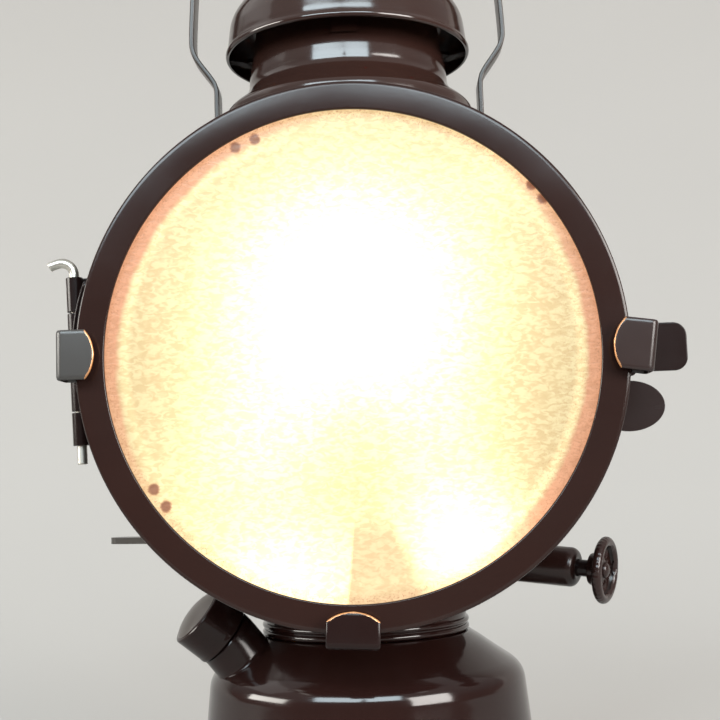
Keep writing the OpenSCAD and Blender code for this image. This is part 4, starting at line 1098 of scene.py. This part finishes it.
# pivot studs: shouldered, domed heads with a washer
obs = []
for s in (0, 180):
    M = R(s, "Z") @ T(0, 0, 203) @ R(90, "Y")
    obs.append(lathe("stud%d" % s, [(0, 39.8), (4.2, 39.8), (4.6, 40.1), (4.6, 40.6), (4.2, 40.8), (2.5, 40.8), (2.5, 44.7), (3.9, 44.7), (4.2, 44.85), (4.2, 45.1)] +
                     [(4.2 * math.cos(math.radians(a)), 45.1 + 1.3 * math.sin(math.radians(a))) for a in range(15, 90, 15)] + [(0, 46.42)], M, M_TRIM, segs=64))
settle(join("bail_studs", obs), "root", "black_paint", "bail_pivots")

# ------------------------------------------------------------------ wick knob
prof = [(0, -1.45), (1.2, -1.45), (2.4, -1.42), (3.0, -1.75), (3.6, -2.05)] + [(3.6 + 0.22 * j, -2.1) for j in range(1, 18)] + [(7.55, -1.75), (7.8, -1.1)] + \
    [(8.25 + 1.45 * math.cos(math.radians(a)), -1.45 + 1.45 * math.sin(math.radians(a))) for a in range(160, -91, -14)] + \
    [(8.1, -2.95), (5.6, -3.0), (5.1, -3.15), (4.75, -3.6), (4.7, -5.2), (4.4, -5.7), (3.9, -5.8), (2.5, -5.8), (0, -5.8)]


def knob_warp(r, h, a):
    if 3.3 < r < 7.6 and h > -2.6:
        near = (a / (2 * PI / 5) + 0.25) % 1.0 - 0.5
        dx, dy = r * math.sin(near * 2 * PI / 5), r * math.cos(near * 2 * PI / 5) - 5.55
        d = math.hypot(dx * 0.85, dy) / 1.75
        if d < 1:
            h -= 0.75 * (1 - d * d) ** 1.2
        else:
            h += 0.18 * math.exp(-((d - 1.15) / 0.25) ** 2)
    if r > 9.3:
        r += 0.06 * math.cos(40 * a)
    return r, h


ob = lathe("knob_wheel", prof, SHAFT, M_KNOB, segs=200, warp=knob_warp)
settle(ob, "wick", "knob_paint", "wick_knob")
ob = dome(2.3, 1.25, SHAFT @ T(0, 0, -1.35), M_KNOB, "knob_boss", 0.05)
settle(ob, "wick", "black_paint", "knob_rivet")
prof = [(2.53, -9.6), (2.9, -9.45), (3.3, -9.4)] + [(3.3 + 2.5 * math.sin(math.radians(a)), -11.9 + 2.5 * math.cos(math.radians(a))) for a in range(8, 91, 8)] + [(5.8, -12.4), (5.82, -20), (5.85, -34), (5.9, -40.5), (4.2, -40.5), (4.2, -15.2), (2.53, -15.0)]
ob = lathe("shaft_sleeve_tube", prof, SHAFT, M_KNOB, closed=True, segs=96)
settle(ob, "root", "black_paint", "shaft_sleeve")

# ------------------------------------------------------------------ light inside
prof = [(0, 134.7), (12.6, 134.7), (13.4, 134.9), (14.0, 137.0), (14.6, 141.0)]
prof = smooth_line([(13.3, 134.8), (13.9, 137.0), (14.9, 145.0), (17.6, 150.6), (20.6, 154.4), (22.2, 159.0), (22.5, 163.0), (22.0, 168.0), (20.0, 173.6), (16.4, 178.6), (11.2, 182.6), (5.8, 184.9), (1.5, 185.5)], 5)
outer = [(0, 134.72)] + prof + [(0, 185.5)]
ob = lathe("bulb_envelope", outer, I4, M_BULB, segs=128)
settle(ob, "root", "bulb_glass", "bulb_glass")
dish = [(i * 3.5 / 2, 15 * (i / 16) ** 2) for i in range(17)]
prof = dish + [(28.6, 15.1), (29.1, 15.35), (29.3, 15.7), (29.1, 16.05), (28.6, 16.15), (28.1, 15.9)] + [(r, h + 0.8) for r, h in dish[::-1]]
ob = lathe("reflector_dish", prof, T(0, 36, 163) @ R(90, "X"), M_MIRROR, segs=160)
settle(ob, "root", "mirror_metal", "reflector")

# ------------------------------------------------------------------ finishes of the CAD pieces that stay
KEEP = {
    "housing_shell": M_BODY, "front_horn": M_BODY, "body_base_plate": M_BODY, "hood_brackets": M_HOOD, "heat_baffle": M_SHEET, "hood_rivet": M_HOOD,
    "tank_bottom": M_TANK, "burner_base": M_BRASS, "threaded_tube": M_SHEET, "lampholder": M_PORC, "bulb_cap": M_BRASS, "bulb_element": M_ELEMENT,
    "inner_lead": M_BRAID, "cable_bush": M_RUBBER, "reflector_bracket": M_INSIDE, "shade_track": M_INSIDE, "glass_gasket": M_FIBRE, "glass_clips": M_SHEET,
    "wick_shaft": M_TRIM, "wick_wheel": M_BRASS, "filler_washer": M_CORK, "signal_shade": M_RED, "shade_carrier": M_SHEET, "shade_lever": M_LEVER_LIT, "shade_struts": M_SHEET,
}
for name, mat in KEEP.items():
    ob = NODES[name]
    for sl in ob.material_slots:
        sl.link = "OBJECT"
        sl.material = mat

# ------------------------------------------------------------------ stage and light


def stage():
    n, prof = 40, [(-0.42, 0.0), (-0.1, 0.0), (0.3, 0.0)]
    prof += [(0.3 + 1.5 * math.sin(PI / 2 * i / n), 1.5 - 1.5 * math.cos(PI / 2 * i / n)) for i in range(1, n + 1)] + [(1.8, 3.4)]
    verts, faces = [], []
    for y, z in prof:
        verts += [(-3.2, y, z), (3.2, y, z)]
    for i in range(len(prof) - 1):
        faces.append((2 * i, 2 * i + 1, 2 * i + 3, 2 * i + 2))
    me = bpy.data.meshes.new("stage")
    me.from_pydata(verts, [], faces)
    me.polygons.foreach_set("use_smooth", [True] * len(me.polygons))
    k = Mat("stage_paper")
    c = k.noise(0.9, 3, 0.5)
    col = k.mix(k.remap(c, 0.3, 0.7, 0, 1), STAGE_A, STAGE_B)
    p = k.principled(Base_Color=col, Roughness=0.9)
    k.put(p, "Specular IOR Level", 0.1)
    me.materials.append(k.done(p.outputs[0]))
    ob = bpy.data.objects.new("stage", me)
    SC.collection.objects.link(ob)


STAGE_A, STAGE_B = (0.376, 0.365, 0.349, 1), (0.359, 0.348, 0.333, 1)
stage()


def area(name, az, el, dist, w, h, power, color, target=(0, 0, 0.16), camera=False):
    """A soft panel on a sphere round the lamp; azimuth 0 is behind the camera, positive to the right."""
    a, e = math.radians(az), math.radians(el)
    pos = Vector(target) + Vector((math.sin(a) * math.cos(e), -math.cos(a) * math.cos(e), math.sin(e))) * dist
    li = bpy.data.lights.new(name, "AREA")
    li.shape, li.size, li.size_y, li.energy, li.color = "RECTANGLE", w, h, power, color
    ob = bpy.data.objects.new(name, li)
    ob.rotation_mode = "QUATERNION"
    ob.rotation_quaternion = (Vector(target) - pos).to_track_quat("-Z", "Y")
    ob.location = pos
    ob.visible_camera = camera
    SC.collection.objects.link(ob)
    return ob


area("window_left", -21.5, 28, 2.6, 1.50, 0.78, 54, (0.78, 0.93, 1.0))
area("window_mid", 12, 28, 2.6, 1.08, 0.78, 39, (0.78, 0.93, 1.0))
area("window_right", 46, 13.5, 2.6, 1.38, 1.2, 88, (1.0, 0.96, 0.92))
area("window_far_left", -76, 12, 2.6, 1.5, 0.7, 54, (1.0, 0.97, 0.90))
ceiling = area("ceiling", 0, 88, 2.6, 3.2, 2.6, 14, (1.0, 0.99, 0.96))
ceiling.visible_glossy = False
# tall pale wall at the left, seen only as a reflection and a soft side light
area("wall_left", -104, 42, 2.6, 2.0, 1.1, 5, (1.0, 0.98, 0.95))
# low fill that lifts the right side of the paper
fill = area("fill_right", 84, 30, 2.8, 1.2, 1.2, 46, (1.0, 0.98, 0.95), (1.2, 1.2, 0.0))
fill.visible_glossy = False

world = bpy.data.worlds.new("world")
SC.world = world
world.use_nodes = True
wt = world.node_tree
bg = wt.nodes["Background"]
tc = wt.nodes.new("ShaderNodeTexCoord")
sp = wt.nodes.new("ShaderNodeSeparateXYZ")
wt.links.new(tc.outputs["Generated"], sp.inputs[0])
rm = wt.nodes.new("ShaderNodeValToRGB")
wt.links.new(sp.outputs[2], rm.inputs[0])
els = rm.color_ramp.elements
els[0].position, els[0].color = 0.0, (0.25, 0.165, 0.145, 1)
els[1].position, els[1].color = 0.85, (0.60, 0.58, 0.57, 1)
for at, c in ((0.17, (0.26, 0.19, 0.175, 1)), (0.34, (0.33, 0.31, 0.30, 1)), (0.62, (0.60, 0.57, 0.55, 1))):
    els.new(at).color = c
wt.links.new(rm.outputs[0], bg.inputs["Color"])
bg.inputs["Strength"].default_value = 1.0


def bulb_light():
    li = bpy.data.lights.new("bulb_light", "POINT")
    li.energy, li.color, li.shadow_soft_size = 1.6, (1.0, 0.74, 0.42), 0.0235
    ob = bpy.data.objects.new("bulb_light", li)
    ob.location = (0, 0, 0.163)
    ob.visible_camera = ob.visible_glossy = False
    SC.collection.objects.link(ob)
    li = bpy.data.lights.new("bulb_beam", "AREA")
    li.shape, li.size, li.energy, li.color = "DISK", 0.05, 3.0, (1.0, 0.78, 0.48)
    ob = bpy.data.objects.new("bulb_beam", li)
    ob.location = (-0.002, -0.026, 0.162)
    ob.rotation_euler = (math.radians(90), 0, 0)
    ob.visible_camera = ob.visible_glossy = False
    SC.collection.objects.link(ob)


bulb_light()

SC.view_settings.view_transform = "Standard"
SC.view_settings.look = "None"
SC.view_settings.exposure = 0.0
SC.view_settings.gamma = 1.0
